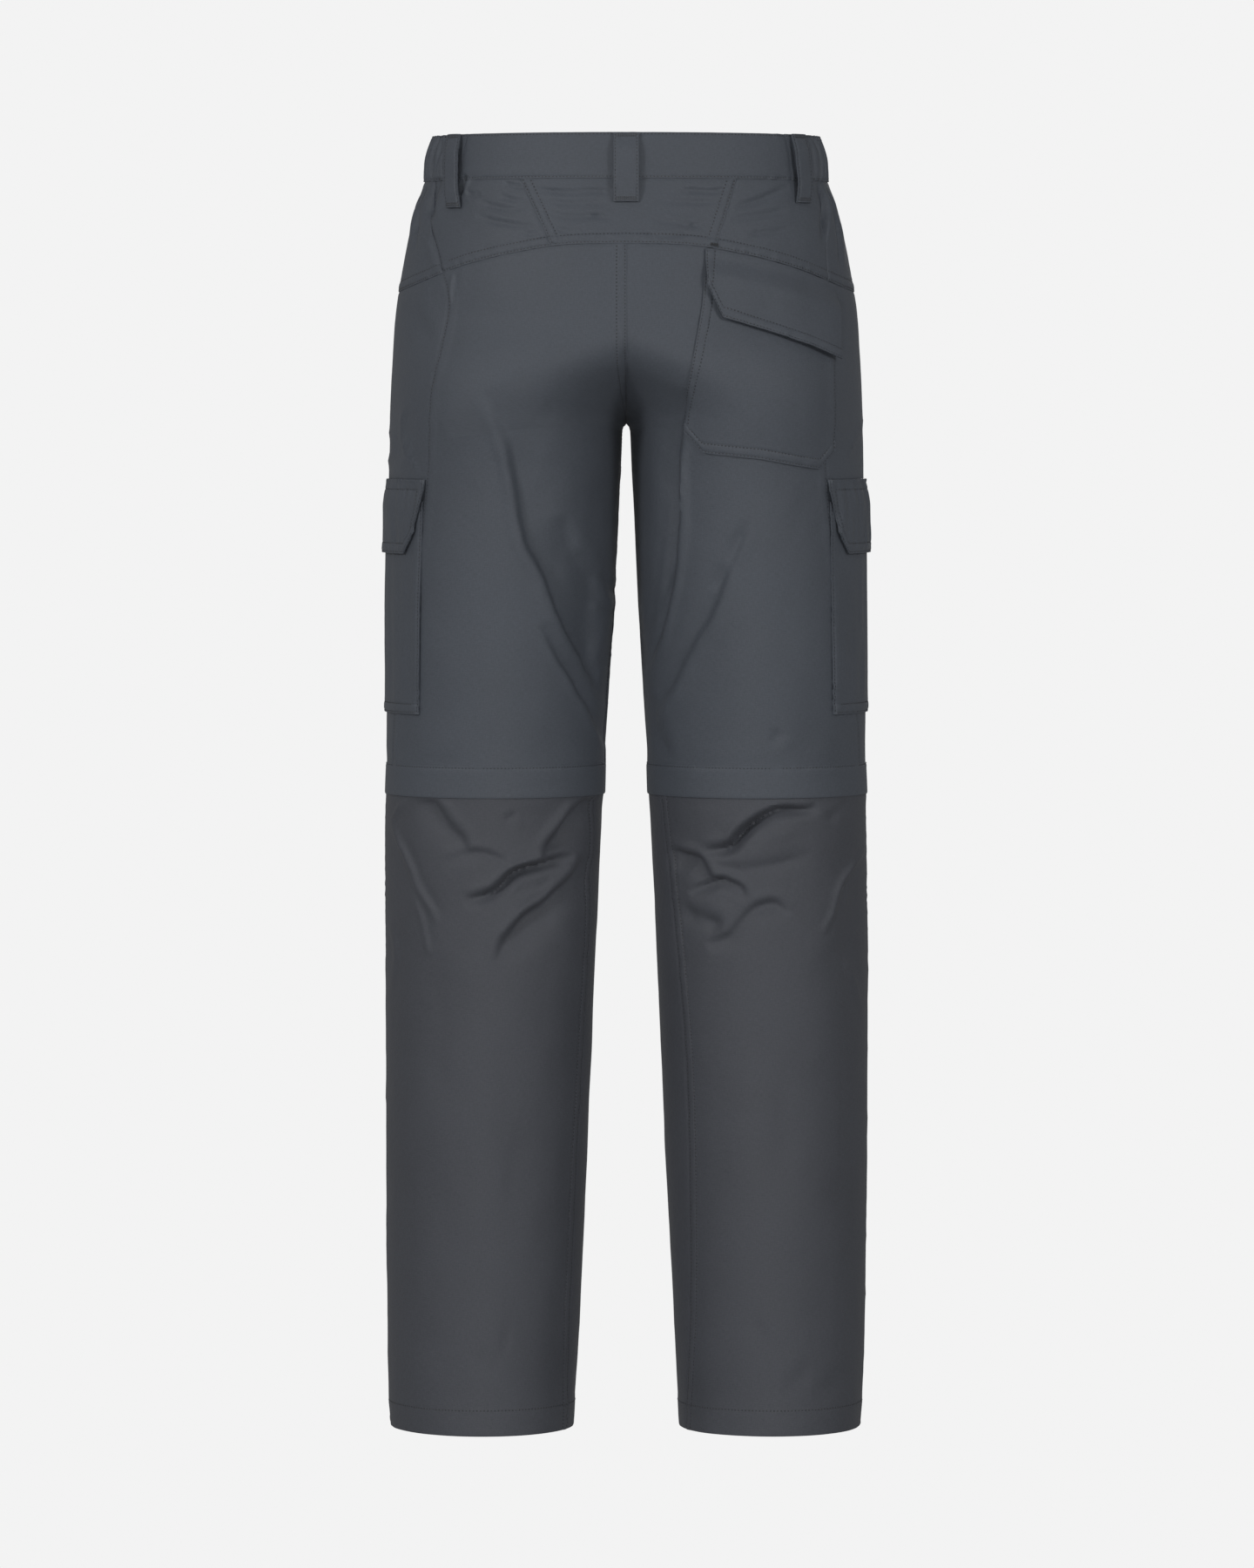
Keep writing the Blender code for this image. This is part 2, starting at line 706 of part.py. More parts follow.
def add_back_pocket(collection):
    """Patch pocket with a cut corner, and its flap."""
    low, high = BACK_POCKET_BOTTOM[0][0], BACK_POCKET_BOTTOM[-1][0]
    shares = sorted({(x - low) / (high - low) for x, _ in BACK_POCKET_BOTTOM} | set(BACK_POCKET_COLUMNS))
    rows = []
    for down in spread(BACK_POCKET_ROWS):
        row = []
        for across in shares:
            bottom_x = between(low, high, across)
            top = read_curve(YOKE_SEAM, between(BACK_FLAP_LEFT, BACK_POCKET_RIGHT, across))
            z = between(top - BACK_POCKET_TOP_DROP, read_line(BACK_POCKET_BOTTOM, bottom_x), down)
            left = read_line(BACK_POCKET_LEFT, z)
            x = between(left, BACK_POCKET_RIGHT, across)
            fullness = math.sin(math.pi * across) * math.sin(math.pi * min(down * 1.05, 1.0))
            lift = POCKET_CLOTH + BACK_POCKET_LIFT + BACK_POCKET_BELLY * fullness
            row.append((angle_at(z, x), z, lift))
        rows.append(row)
    add_half_piece("back_pocket", RIGHT, rows, POCKET_CLOTH, collection)

    low, high = BACK_FLAP_BOTTOM[0][0], BACK_FLAP_BOTTOM[-1][0]
    shares = sorted({(x - low) / (high - low) for x, _ in BACK_FLAP_BOTTOM} | set(BACK_FLAP_COLUMNS))
    rows = []
    for down in spread(BACK_FLAP_ROWS):
        row = []
        for across in shares:
            x = between(BACK_FLAP_LEFT, BACK_FLAP_RIGHT, across)
            top = read_curve(YOKE_SEAM, x) - BACK_FLAP_TOP_DROP
            z = between(top, read_line(BACK_FLAP_BOTTOM, between(low, high, across)), down)
            open_share = smooth((top - z - FLAP_SEWN) / (BACK_POCKET_TOP_DROP - FLAP_SEWN))
            stand = FLAP_STAND + FLAP_SIDE_RISE * across
            lift = between(FLAP_LIFT, stand, open_share) + POCKET_CLOTH
            row.append((angle_at(z, x), z, lift))
        rows.append(row)
    add_half_piece("back_pocket_flap", RIGHT, rows, POCKET_CLOTH, collection)


def add_cargo_pockets(collection):
    """Patch pockets on the outer thighs, with cut-cornered flaps."""
    back, front = math.radians(CARGO_BACK), math.radians(CARGO_FRONT)
    cut = math.radians(CARGO_FLAP_CUT)
    for side in (LEFT, RIGHT):
        rows = []
        for down in spread(CARGO_ROWS):
            z = between(CARGO_TOP, CARGO_BOTTOM, down)
            row = []
            for across in spread(CARGO_COLUMNS):
                belly = CARGO_BELLY * math.sin(math.pi * across) ** 0.5 * math.sin(math.pi * down)
                row.append((between(back, front, across), z, POCKET_CLOTH + CARGO_LIFT + belly))
            rows.append(row)
        add_half_piece("cargo_pocket_" + SIDE_NAMES[side], side, rows, POCKET_CLOTH, collection)

        shares = [0.0, cut / (front - back)]
        shares += [between(shares[1], 1 - shares[1], share) for share in spread(CARGO_FLAP_COLUMNS)[1:]]
        shares.append(1.0)
        rows = []
        for down in spread(CARGO_FLAP_ROWS):
            row = []
            for across in shares:
                bottom = CARGO_FLAP_CORNER if across in (0.0, 1.0) else CARGO_FLAP_BOTTOM
                z = between(CARGO_FLAP_TOP, bottom, down)
                edge = CARGO_FLAP_OVERHANG - CARGO_FLAP_TAPER * smooth(down * 1.2 - 0.2)
                angle = between(back - edge, front + edge, across)
                lift = between(CARGO_FLAP_LIFT, CARGO_FLAP_STAND, smooth(down * 2.6)) + POCKET_CLOTH
                row.append((angle, z, lift))
            rows.append(row)
        add_half_piece("cargo_flap_" + SIDE_NAMES[side], side, rows, POCKET_CLOTH, collection)


def upper_ring_angles(side, z):
    """The columns of the upper panels as one ring."""
    start = -centre_angle(z)
    seam = outseam_angle(side, z)
    angles = [between(start, seam, share) for share in spread(BACK_COLUMNS)]
    return angles + front_stations(side, z)[1:-1]


def add_leg_zips(collection):
    """Cover band over each leg zip, and the zip tape that joins the legs inside."""
    for side in (LEFT, RIGHT):
        rows = []
        for down in spread(2):
            z = between(COVER_TOP, COVER_BOTTOM, down)
            lift = between(COVER_LIFT_TOP, COVER_LIFT_BOTTOM, down ** 0.5) + CLOTH
            rows.append([(angle, z, lift) for angle in upper_ring_angles(side, z)])
        add_half_piece("zip_cover_" + SIDE_NAMES[side], side, rows, CLOTH, collection, closed=True)

        rows = []
        for z in (COVER_TOP - 1, COVER_BOTTOM + 2):
            rows.append([(angle, z, ZIP_TAPE_LIFT) for angle in upper_ring_angles(side, z)])
        add_half_piece("leg_zip_" + SIDE_NAMES[side], side, rows, TAPE, collection, closed=True)


def add_lower_legs(collection):
    """Back and front panels below the leg zip."""
    for side in (LEFT, RIGHT):
        back_rows = []
        front_rows = []
        for z in LOWER_ROWS:
            gap = arc_gap(z)
            inner = inseam_angle(side, z)
            back_rows.append([(between(inner + gap, -gap, share), z, 0.0)
                              for share in spread(LOWER_BACK_COLUMNS)])
            front_rows.append([(between(gap, 2 * math.pi + inner - gap, share), z, 0.0)
                               for share in spread(LOWER_FRONT_COLUMNS)])
        add_half_piece("lower_leg_back_" + SIDE_NAMES[side], side, back_rows, CLOTH, collection)
        add_half_piece("lower_leg_front_" + SIDE_NAMES[side], side, front_rows, CLOTH, collection)


def add_fly(collection):
    """Fly flap with a curved lower end, and the waistband button."""
    rows = []
    for down in spread(FLY_ROWS):
        row = []
        for across in spread(FLY_COLUMNS):
            end = between(FLY_END, FLY_END + FLY_END_RISE, across ** 2)
            z = between(FLY_TOP, end, down)
            x = between(FLY_RIGHT, FLY_LEFT, across)
            row.append(torso_spot(x, z, "front", POCKET_CLOTH + FLY_LIFT))
        rows.append(row)
    add_piece("fly", rows, POCKET_CLOTH, collection)

    _, _, _, front = section(0.0)
    bpy.ops.mesh.primitive_cylinder_add(
        vertices=BUTTON_SIDES, radius=BUTTON_RADIUS * MM, depth=BUTTON_THICKNESS * MM)
    button = bpy.context.object
    button.name = "waist_button"
    button.data.name = "waist_button"
    button.rotation_euler = (math.radians(90), 0, 0)
    button.location = Vector((BUTTON_PLACE, front + SEAM_GAP + BUTTON_THICKNESS / 2, 0.0)) * MM
    button.data.materials.append(make_material("waist_button", TRIM_COLOUR, TRIM_ROUGHNESS))
    rim = button.modifiers.new("Rim", "BEVEL")
    rim.width = BUTTON_RIM * MM
    rim.segments = 1
    rim.limit_method = "ANGLE"
    for holder in list(button.users_collection):
        holder.objects.unlink(button)
    collection.objects.link(button)


def main():
    """Build every piece of the trousers."""
    clear_scene()
    collection = bpy.data.collections.new("convertible_trousers")
    bpy.context.scene.collection.children.link(collection)
    add_waistband(collection)
    add_yokes(collection)
    add_upper_legs(collection)
    add_leg_zips(collection)
    add_lower_legs(collection)
    add_belt_loops(collection)
    add_back_pocket(collection)
    add_cargo_pockets(collection)
    add_fly(collection)


main()
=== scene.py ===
"""Looks of the zip-off trousers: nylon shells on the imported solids, their sewing, light and camera.

Lengths are in millimetres unless a name says otherwise. The seat faces -Y and +X is the wearer's right.
"""
import math

import bpy
import numpy as np
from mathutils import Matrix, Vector


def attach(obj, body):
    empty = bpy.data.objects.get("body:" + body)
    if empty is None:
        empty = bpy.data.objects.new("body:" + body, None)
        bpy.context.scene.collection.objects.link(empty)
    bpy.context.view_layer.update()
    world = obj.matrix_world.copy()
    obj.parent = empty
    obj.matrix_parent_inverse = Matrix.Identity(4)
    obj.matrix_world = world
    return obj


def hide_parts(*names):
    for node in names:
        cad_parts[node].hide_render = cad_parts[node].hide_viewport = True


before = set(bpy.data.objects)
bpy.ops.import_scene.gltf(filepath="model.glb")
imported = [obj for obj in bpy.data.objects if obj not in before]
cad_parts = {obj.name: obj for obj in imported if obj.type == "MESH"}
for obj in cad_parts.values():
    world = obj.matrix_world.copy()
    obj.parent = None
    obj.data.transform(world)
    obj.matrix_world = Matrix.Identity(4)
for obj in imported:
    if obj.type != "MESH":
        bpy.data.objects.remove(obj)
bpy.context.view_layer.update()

MM = 0.001
LEFT = -1
RIGHT = 1
SIDE_NAMES = {LEFT: "left", RIGHT: "right"}
BODY = "root"

# Camera, at the photo's angle
CAMERA_DISTANCE_M = 6.0
CAMERA_TILT_DEG = 3.0
CAMERA_AIM_M = (0.0007, 0.0, -0.5054)
CAMERA_LENS = 169.7
SENSOR = 36.0

# Heights of the garment, as in the solids
BAND_TOP = 18.3
BAND_BOTTOM = -18.2
CROTCH = -213.8
FORK_HEIGHT = 90.0
CROTCH_REACH = 25.0
ZIP_LINE = -498.5
COVER_TOP = -487.0
COVER_BOTTOM = -512.5
HEM = -1028.0

# Thickness of the cloth, and the gap that shows at a seam
CLOTH = 1.2
SEAM_GAP = 0.08

# Distances between a shell's mesh points, and the stretch below the leg zip where they are finer
PITCH_BACK = 2.6
PITCH_FRONT = 4.0
PITCH_KNEE = 2.1
PITCH_CALF = 8.0
PITCH_TRIM = 1.8
PITCH_RIB = 1.1
KNEE_STRETCH = (0, 150)

# Form of the garment: height, half width to the outer edge
OUTER_EDGE = (
    (20, 156.0), (0, 161.5), (-18, 163.2), (-40, 170.0), (-68, 177.0), (-96, 182.2),
    (-124, 186.3), (-152, 188.5), (-209, 191.0), (-290, 192.2), (-392, 193.2), (-505, 194.4),
    (-560, 195.0), (-650, 195.4), (-800, 195.4), (-930, 194.1), (-1000, 192.8), (-1028, 190.8),
)

# Height, half of the gap between the legs
INNER_EDGE = (
    (-213.8, 0.0), (-214.4, 1.5), (-215.8, 2.4), (-219, 3.0), (-226, 3.4), (-251, 4.4),
    (-308, 7.4), (-420, 13.8), (-505, 17.9), (-650, 25.2), (-818, 32.4), (-932, 37.8),
    (-1000, 41.2), (-1028, 43.0),
)

# Height, reach of the back, reach of the front
DEPTHS = (
    (20, 112, 108), (-18, 115, 110), (-70, 124, 113), (-110, 130, 114), (-160, 132, 112),
    (-214, 122, 108), (-257, 113, 105), (-320, 106, 101), (-410, 97, 93), (-505, 86, 84),
    (-600, 81, 79), (-760, 78, 75), (-900, 75, 73), (-1028, 74, 72),
)

# Distance from the centre back, height of the seam under the yoke
YOKE_SEAM = (
    (0, -70.0), (52, -71.5), (93, -78.0), (123, -85.0), (145, -92.0), (160, -98.0), (184, -107.0),
)

# Degrees in front of the side, height of the seam under the hip piece
HIP_SEAM = (
    (0, -107.0), (16, -92.0), (32, -66.0), (48, -26.0), (50.5, BAND_BOTTOM),
)
HIP_END_DEG = 50.4

# Side seam: height, distance from the centre on the left, on the right
OUTSEAM = (
    (20, 152.0, 154.0), (-18, 155.0, 157.0), (-47, 158.0, 160.0), (-81, 150.0, 161.0), (-115, 142.0, 163.0),
    (-153, 148.0, 164.5), (-188, 156.0, 163.0), (-257, 160.0, 161.0), (-330, 168.0, 168.0),
    (-445, 186.0, 186.0), (-515, 189.0, 189.0),
)

# Inner seam of the lower leg: height, degrees from the outer side on the left, on the right
INSEAM = (
    (-480, 162, 155), (-560, 160, 149), (-650, 158, 143), (-760, 156, 140), (-930, 154, 146),
    (-1028, 158, 157),
)

# Creases of the back: line of (x, z) points, depth, width on the line's left, width on its right.
# A negative depth is a ridge.
BACK_CREASES = (
    (((-130, -595), (-109, -589), (-98, -581), (-91, -575), (-79, -570), (-62, -566), (-41, -560)),
     5.4, 2.8, 5.6),
    (((-112, -603), (-88, -589), (-62, -580), (-45, -572)), 1.6, 9.0, 11.0),
    (((-67, -563), (-57, -547), (-44, -530), (-32, -517), (-22, -508)), 4.4, 3.0, 13.0),
    (((-102, -646), (-99, -632), (-92, -621), (-82, -611), (-65, -599), (-47, -584), (-38, -574),
      (-33, -560)), 4.2, 3.0, 16.0),
    (((-148, -565), (-135, -560), (-121, -557), (-107, -559), (-92, -566)), 1.3, 2.6, 6.0),
    (((-164, -503), (-157, -513), (-150, -524), (-140, -537), (-132, -546), (-128, -557)), 2.6, 3.0, 15.0),
    (((-190, -530), (-185, -545), (-175, -566), (-168, -585), (-156, -603), (-152, -615)), -1.5, 2.0, 2.8),
    (((-172, -590), (-165, -610), (-158, -640)), -0.8, 1.8, 2.4),
    (((-174, -508), (-181, -520), (-189, -534)), -1.1, 1.8, 2.2),
    (((-191, -612), (-186, -640), (-190, -670)), -0.8, 1.8, 2.6),
    (((-97, -531), (-88, -524)), 0.7, 2.6, 4.0),
    (((60, -558), (83, -551), (91, -543), (101, -534), (114, -526), (127, -522), (143, -522), (154, -519)),
     5.6, 2.9, 4.8),
    (((86, -566), (110, -549), (138, -538)), -1.0, 6.0, 9.0),
    (((50, -590), (63, -584), (74, -579), (83, -581), (91, -585), (95, -594)), 3.2, 2.4, 6.0),
    (((64, -632), (81, -625), (90, -616), (101, -603), (112, -598), (121, -598), (131, -607)), 2.4, 3.0, 8.0),
    (((34, -557), (48, -560), (58, -563), (63, -571), (70, -580)), 3.2, 2.6, 12.0),
    (((65, -567), (98, -569), (126, -564), (150, -557)), 0.9, 4.0, 6.0),
    (((195, -555), (181, -571), (171, -586), (166, -605), (157, -624)), -1.5, 2.0, 2.8),
    (((176, -640), (184, -664), (192, -690)), -0.7, 1.8, 2.6),
    (((188, -580), (180, -610), (176, -650)), 1.3, 10.0, 8.0),
    (((46, -604), (61, -609), (78, -617)), 1.9, 4.4, 10.0),
    (((161, -532), (170, -523), (180, -515)), 0.8, 3.0, 5.0),
    (((-126, -964), (-114, -966), (-100, -970)), 0.7, 4.0, 7.0),
    (((-101, -955), (-94, -943)), 0.6, 4.0, 6.0),
    (((99, -932), (113, -948)), 0.7, 4.0, 7.0),
    (((127, -991), (148, -971)), 0.7, 4.0, 7.0),
    (((150, -997), (170, -985), (193, -973)), 0.7, 4.0, 7.0),
    (((-12, -446), (-23, -415), (-36, -390), (-50, -365), (-64, -328), (-79, -299), (-84, -264), (-93, -225),
      (-112, -188)), 4.4, 3.6, 21.0),
    (((-29, -415), (-41, -391), (-55, -366), (-69, -329), (-84, -300), (-90, -264)), -0.7, 1.8, 1.8),
    (((-14, -476), (-29, -440), (-45, -411), (-59, -388), (-67, -373)), 2.6, 2.2, 10.0),
    (((-20, -440), (-25, -380), (-29, -338), (-43, -311), (-50, -286)), 3.0, 14.0, 4.0),
    (((-20, -330), (-14, -344), (-8, -352)), 0.9, 2.0, 3.4),
    (((-24, -352), (-16, -362), (-10, -366)), 0.8, 2.0, 3.0),
    (((-196, -252), (-187, -232), (-192, -216)), -0.9, 1.8, 2.4),
    (((-180, -252), (-176, -236), (-180, -222)), -0.7, 1.6, 2.0),
    (((-142.5, 19), (-145.6, 8), (-145.8, -16)), 2.2, 1.1, 1.6),
    (((-147.5, 21), (-149.5, 9), (-152.8, -6), (-153.5, -16)), 1.8, 1.1, 1.4),
    (((-127.5, -14), (-130.5, -22), (-132, -30)), 2.0, 1.2, 2.0),
    (((-150, -16), (-156, -36), (-157, -50)), 2.6, 2.2, 3.4),
    (((-165, -22), (-168, -50), (-171, -76)), 2.0, 2.0, 1.2),
    (((-137, -92), (-139, -104), (-140, -118)), -0.7, 1.0, 1.6),
    (((-158, -95), (-160, -104), (-160, -118)), -0.8, 1.0, 1.6),
    (((138, 18), (140, 2), (139, -14)), 1.8, 1.4, 1.1),
    (((147, 19), (148, 4), (151, -15)), 1.8, 1.4, 1.1),
    (((155, -17), (160, -42), (158, -70)), 2.4, 1.2, 3.0),
    (((168, -40), (172, -66), (173, -88)), 1.8, 1.0, 2.0),
    (((-100, -208), (-94, -246), (-90, -276)), -0.5, 5.0, 6.0),
    (((50, -186), (42, -218), (39, -246), (40, -285), (36, -327), (28, -369), (15, -414)), 5.2, 2.6, 12.0),
    (((47, -233), (44, -279), (38, -321), (28, -357), (14, -400)), -1.2, 1.8, 2.4),
    (((32, -262), (31, -300), (25, -350), (17, -392)), -0.9, 1.8, 2.6),
    (((80, -326), (66, -362), (53, -383), (39, -412), (20, -448)), 2.6, 3.4, 9.0),
    (((97, -290), (84, -321), (70, -347)), 1.8, 3.0, 7.0),
    (((124, -458), (116, -470)), 0.8, 3.4, 5.0),
    (((-178, -196), (-177, -226), (-165, -255)), -1.3, 1.4, 2.0),
    (((191, -209), (183, -226), (175, -244)), -1.1, 1.6, 2.2),
    (((-178, -117), (-165, -133), (-153, -149)), 0.9, 4.0, 6.0),
    (((18, -432), (23, -454), (34, -482)), 1.2, 4.0, 7.0),
    (((-153, -636), (-149, -698), (-154, -760)), 0.8, 12.0, 14.0),
    (((-96, -700), (-86, -790), (-92, -880)), 0.8, 16.0, 14.0),
    (((112, -690), (124, -770), (116, -860)), 0.9, 14.0, 16.0),
    (((-72, -26), (-50, -29), (-30, -28), (-10, -29)), 0.9, 1.5, 2.6),
    (((-64, -36), (-45, -38), (-14, -37)), 0.7, 1.4, 2.4),
    (((-60, -46), (-41, -49), (-22, -48), (-8, -50)), 0.9, 1.5, 2.8),
    (((-56, -58), (-46, -60), (-36, -60)), 0.6, 1.4, 2.2),
    (((-119, -36), (-104, -40), (-90, -42), (-76, -40)), 0.8, 1.5, 2.6),
    (((-98, -21), (-88, -24), (-80, -25)), 0.7, 1.4, 2.2),
    (((-102, -31), (-90, -35), (-78, -36)), 0.7, 1.4, 2.4),
    (((-120, -47), (-102, -52), (-86, -55), (-72, -56)), 0.9, 1.5, 2.8),
    (((-84, -60), (-76, -62), (-68, -62)), 0.6, 1.4, 2.2),
    (((-128, -28), (-122, -30), (-116, -30)), 0.6, 1.4, 2.2),
    (((83, -50), (105, -47), (130, -42)), 0.8, 1.6, 3.0),
    (((86, -41), (108, -34), (130, -23)), 1.0, 1.8, 3.4),
    (((96, -62), (116, -60), (134, -56)), 0.7, 1.4, 2.6),
    (((44, -27), (58, -28), (70, -28), (80, -26)), 0.8, 1.4, 2.4),
    (((22, -34), (50, -37), (76, -36)), 0.7, 1.4, 2.4),
    (((20, -50), (44, -54), (64, -56)), 0.8, 1.5, 2.6),
    (((12, -62), (30, -64), (52, -63)), 0.6, 1.4, 2.2),
    (((-172, -62), (-160, -66), (-152, -90)), -0.6, 1.8, 2.6),
)

# Creases of the front, which the photo hides
FRONT_CREASES = (
    (((-122, -546), (-86, -562), (-48, -560)), 3.6, 4.4, 12.0),
    (((-142, -594), (-104, -607), (-60, -598)), 2.8, 4.6, 12.0),
    (((-160, -640), (-120, -652), (-84, -640)), 1.4, 5.0, 12.0),
    (((134, -541), (92, -560), (54, -553)), 3.2, 12.0, 4.4),
    (((122, -604), (88, -612), (56, -594)), 3.0, 12.0, 4.6),
    (((150, -650), (112, -662), (80, -648)), 1.4, 12.0, 5.0),
    (((-58, -203), (-86, -238), (-130, -264)), 2.6, 12.0, 6.0),
    (((-30, -232), (-50, -262), (-84, -296)), 1.6, 9.0, 6.0),
    (((54, -206), (84, -244), (122, -274)), 2.4, 6.0, 12.0),
    (((28, -240), (52, -276), (88, -306)), 1.5, 6.0, 9.0),
    (((-96, -330), (-88, -400), (-92, -470)), 1.3, 14.0, 16.0),
    (((104, -320), (98, -396), (108, -474)), 1.3, 16.0, 14.0),
    (((-128, -700), (-118, -800), (-122, -900)), 1.0, 16.0, 14.0),
    (((124, -690), (114, -800), (120, -910)), 1.0, 14.0, 16.0),
)

# How strongly the creases of both tables show
CREASE_SHARE = 1.55

# Every crease: how far it reaches in widths of its wider side, how much it wanders in widths of its narrower
# side, how uneven its depth is, and the points that its line is drawn with
CREASE_REACH = 3.0
CREASE_WANDER = 0.35
CREASE_UNEVEN = 0.18
CREASE_POINTS = 24

# Low bank beside a crease's narrower side: height as a share of the depth, then distance and width in
# widths of that side
BANK_HEIGHT = 0.28
BANK_PLACE = 2.6
BANK_WIDTH = 1.3

# Cells of the noise along each side, and a shift that keeps its places above zero
NOISE_CELLS = 24
NOISE_SHIFT = 480.0

# Soft undulations of the cloth: height, size of the bumps, seed
BROAD_UNDULATION = (0.8, (48, 60, 130), 3)
MIDDLE_UNDULATION = (0.34, (22, 22, 40), 5)
SMALL_UNDULATION = (0.16, (11, 11, 15), 9)
FINE_UNDULATION = (0.06, (5, 5, 6), 8)

# Where the cloth lies flat, as a distance and the length of the ease after it: below the waistband and
# beside the cover bands. Then the room that a cover band needs, and the ease from the back to the front.
BAND_FLAT = (4, 40)
COVER_FLAT = (12, 16)
COVER_ROOM = 7
BACK_TO_FRONT = (6, 18)

# Elastic sides of the waistband
ELASTIC_BACK_DEG = 36.0
ELASTIC_FRONT_DEG = 27.0
GATHERS = 15
GATHER_DEPTH = 2.6
GATHER_FADE = 12
HIP_GATHERS = 7
HIP_GATHER_DEPTH = 2.8
HIP_GATHER_REACH = 62.0

# Share of the gathers' depth at the band's edges, and at the back end of the elastic and of the hip piece
GATHER_EDGE_SHARE = 0.3
GATHER_BACK_SHARE = 1.3
HIP_GATHER_BACK_SHARE = 1.4

# Slanted seams of the yoke: distance from the centre at the waistband and at the yoke seam
SLANT = {LEFT: (84.0, 60.0), RIGHT: (88.0, 72.0)}

# How often a piece's slanted edge and its points are worked out in turn, until they agree
EDGE_ROUNDS = 8
PANEL_ROUNDS = 12

# Short tack on the seam under the yoke, above the back pocket: its ends and how far it lies above the seam
TACK_ENDS = (66.0, 73.5)
TACK_RISE = (2.2, 3.3)

# Belt loops: name, facing, distance from the centre at the top and the bottom, height of the bottom,
# lift of their ends, width
BELT_LOOPS = (
    ("belt_loop_centre_back", "back", 0.0, 0.0, -37.0, 0.4, 20.0),
    ("belt_loop_back_left", "back", -136.0, -137.0, -41.0, 1.1, 16.5),
    ("belt_loop_back_right", "back", 136.0, 141.0, -37.0, 1.1, 17.5),
    ("belt_loop_front_left", "front", -92.0, -92.0, -37.0, 0.4, 20.0),
    ("belt_loop_front_right", "front", 92.0, 92.0, -37.0, 0.4, 20.0),
)
LOOP_TOP = 17.8
LOOP_ROOM = 5.0
LOOP_END_FOLD = 1.0
LOOP_CROWN = 0.25
LOOP_TACK_ROWS = (3, 5, -6, -4)

# Back pocket and its flap: distances from the centre and heights
POCKET_LEFT = ((-95, 62), (-119, 60), (-164, 52.5), (-197, 46.5), (-216, 46.5), (-236, 50))
POCKET_BOTTOM = ((46, -216), (60, -236), (107, -241), (140, -247), (154, -249), (166, -234))
POCKET_RIGHT = 166.0
POCKET_TOP_DROP = 24.0
FLAP_BOTTOM = ((62, -103), (75, -130), (121, -145), (147, -154), (167, -163))
FLAP_TOP_DROP = 1.5
FLAP_LEFT = 62.5
FLAP_RIGHT = 166.5
FLAP_SEWN = 5.0
FLAP_STAND = 5.6
POCKET_BELLY = 1.6

# Cargo pockets: heights, and degrees round the leg
CARGO_TOP = -275.0
CARGO_BOTTOM = -446.0
CARGO_BACK_DEG = -47.0
CARGO_FRONT_DEG = 50.0
CARGO_FLAP_TOP = -257.5
CARGO_FLAP_CORNER = -299.0
CARGO_FLAP_BOTTOM = -317.0
CARGO_FLAP_CUT_DEG = 8.0
CARGO_FLAP_STAND = 3.6
CARGO_FLAP_OVERHANG = 0.02
CARGO_FLAP_TAPER = 0.08
CARGO_BELLY = 0.9
CARGO_PULL = 0.8
CARGO_FLAP_PULL = 1.5

# Fly and button
FLY_LEFT = -20.0
FLY_RIGHT = 18.0
FLY_END = -168.0
FLY_CURVE = 34.0
BUTTON_RADIUS = 8.5
BUTTON_PLACE = 2.0
BUTTON_DISH = 2.3
BUTTON_RIM = 0.9
BUTTON_HOLES = ((-1.7, -1.7), (-1.7, 1.7), (1.7, -1.7), (1.7, 1.7))
BUTTON_HOLE_RADIUS = 1.0
BUTTON_HOLE_DEPTH = 1.9

# Zip teeth: pitch, size along, up and outwards, shift of the two rows in tooth heights, lift from the form,
# and the mean radius of the leg at the zip
ZIP_PITCH = 2.7
ZIP_TOOTH = (1.6, 2.2, 1.3)
ZIP_ROW_SHIFT = 0.42
ZIP_TEETH_LIFT = -4.3
ZIP_RADIUS = 88

# Sewing: distance of a row from its edge, of the second row of a pair, the hem, the stitches, the groove that
# they lie in, the puckers beside them for one row and for two, and the ribs of the cargo flaps
ROW_NEAR = 1.5
ROW_FAR = 8.3
HEM_ROW = 21.0
HEM_RISE = 0.45
STITCH_PITCH = 2.9
STITCH_LENGTH = 1.6
STITCH_WIDTH = 1.1
STITCH_RISE = 0.3
STITCH_ROOT = 0.25
TACK_STITCH = {"pitch": 1.5, "length": 1.3}
GROOVE_DEPTH = 0.55
GROOVE_WIDTH = 0.7
PUCKER_DEPTH = 0.85
PUCKER_SIZE = 2.6
PUCKER_REACH = {1: 4.0, 2: 9.0}
RIB_PITCH = 2.7
RIB_DEPTH = 0.35
CENTRE_LAP = 0.5

# Stitches along an edge: one row, or a pair of rows
ONE_ROW = (ROW_NEAR,)
TWO_ROWS = (ROW_NEAR, ROW_FAR)

# Distances of the mesh points from an edge, on a piece with room for all of them and on a narrow one
EDGE_STEPS = (0.0, 0.3, 0.8, 1.5, 2.2, 3.0, 4.4, 6.2, 7.5, 8.3, 9.1, 10.6)
SHORT_EDGE_STEPS = EDGE_STEPS[:6]

# Drop of the cloth at each kind of edge and how far it reaches. The cloth under a lapped edge raises it.
EDGE_DROPS = {"tuck": (0.45, 1.7), "seam": (1.0, 1.1), "roll": (0.3, 0.7), "lap": (0.45, 0.6)}
LAP_RISE = 0.5
LAP_REACH = 9.6

# Edges of a patch pocket
PATCH_EDGES = {"left": "lap", "right": "lap", "bottom": "lap", "top": "roll"}

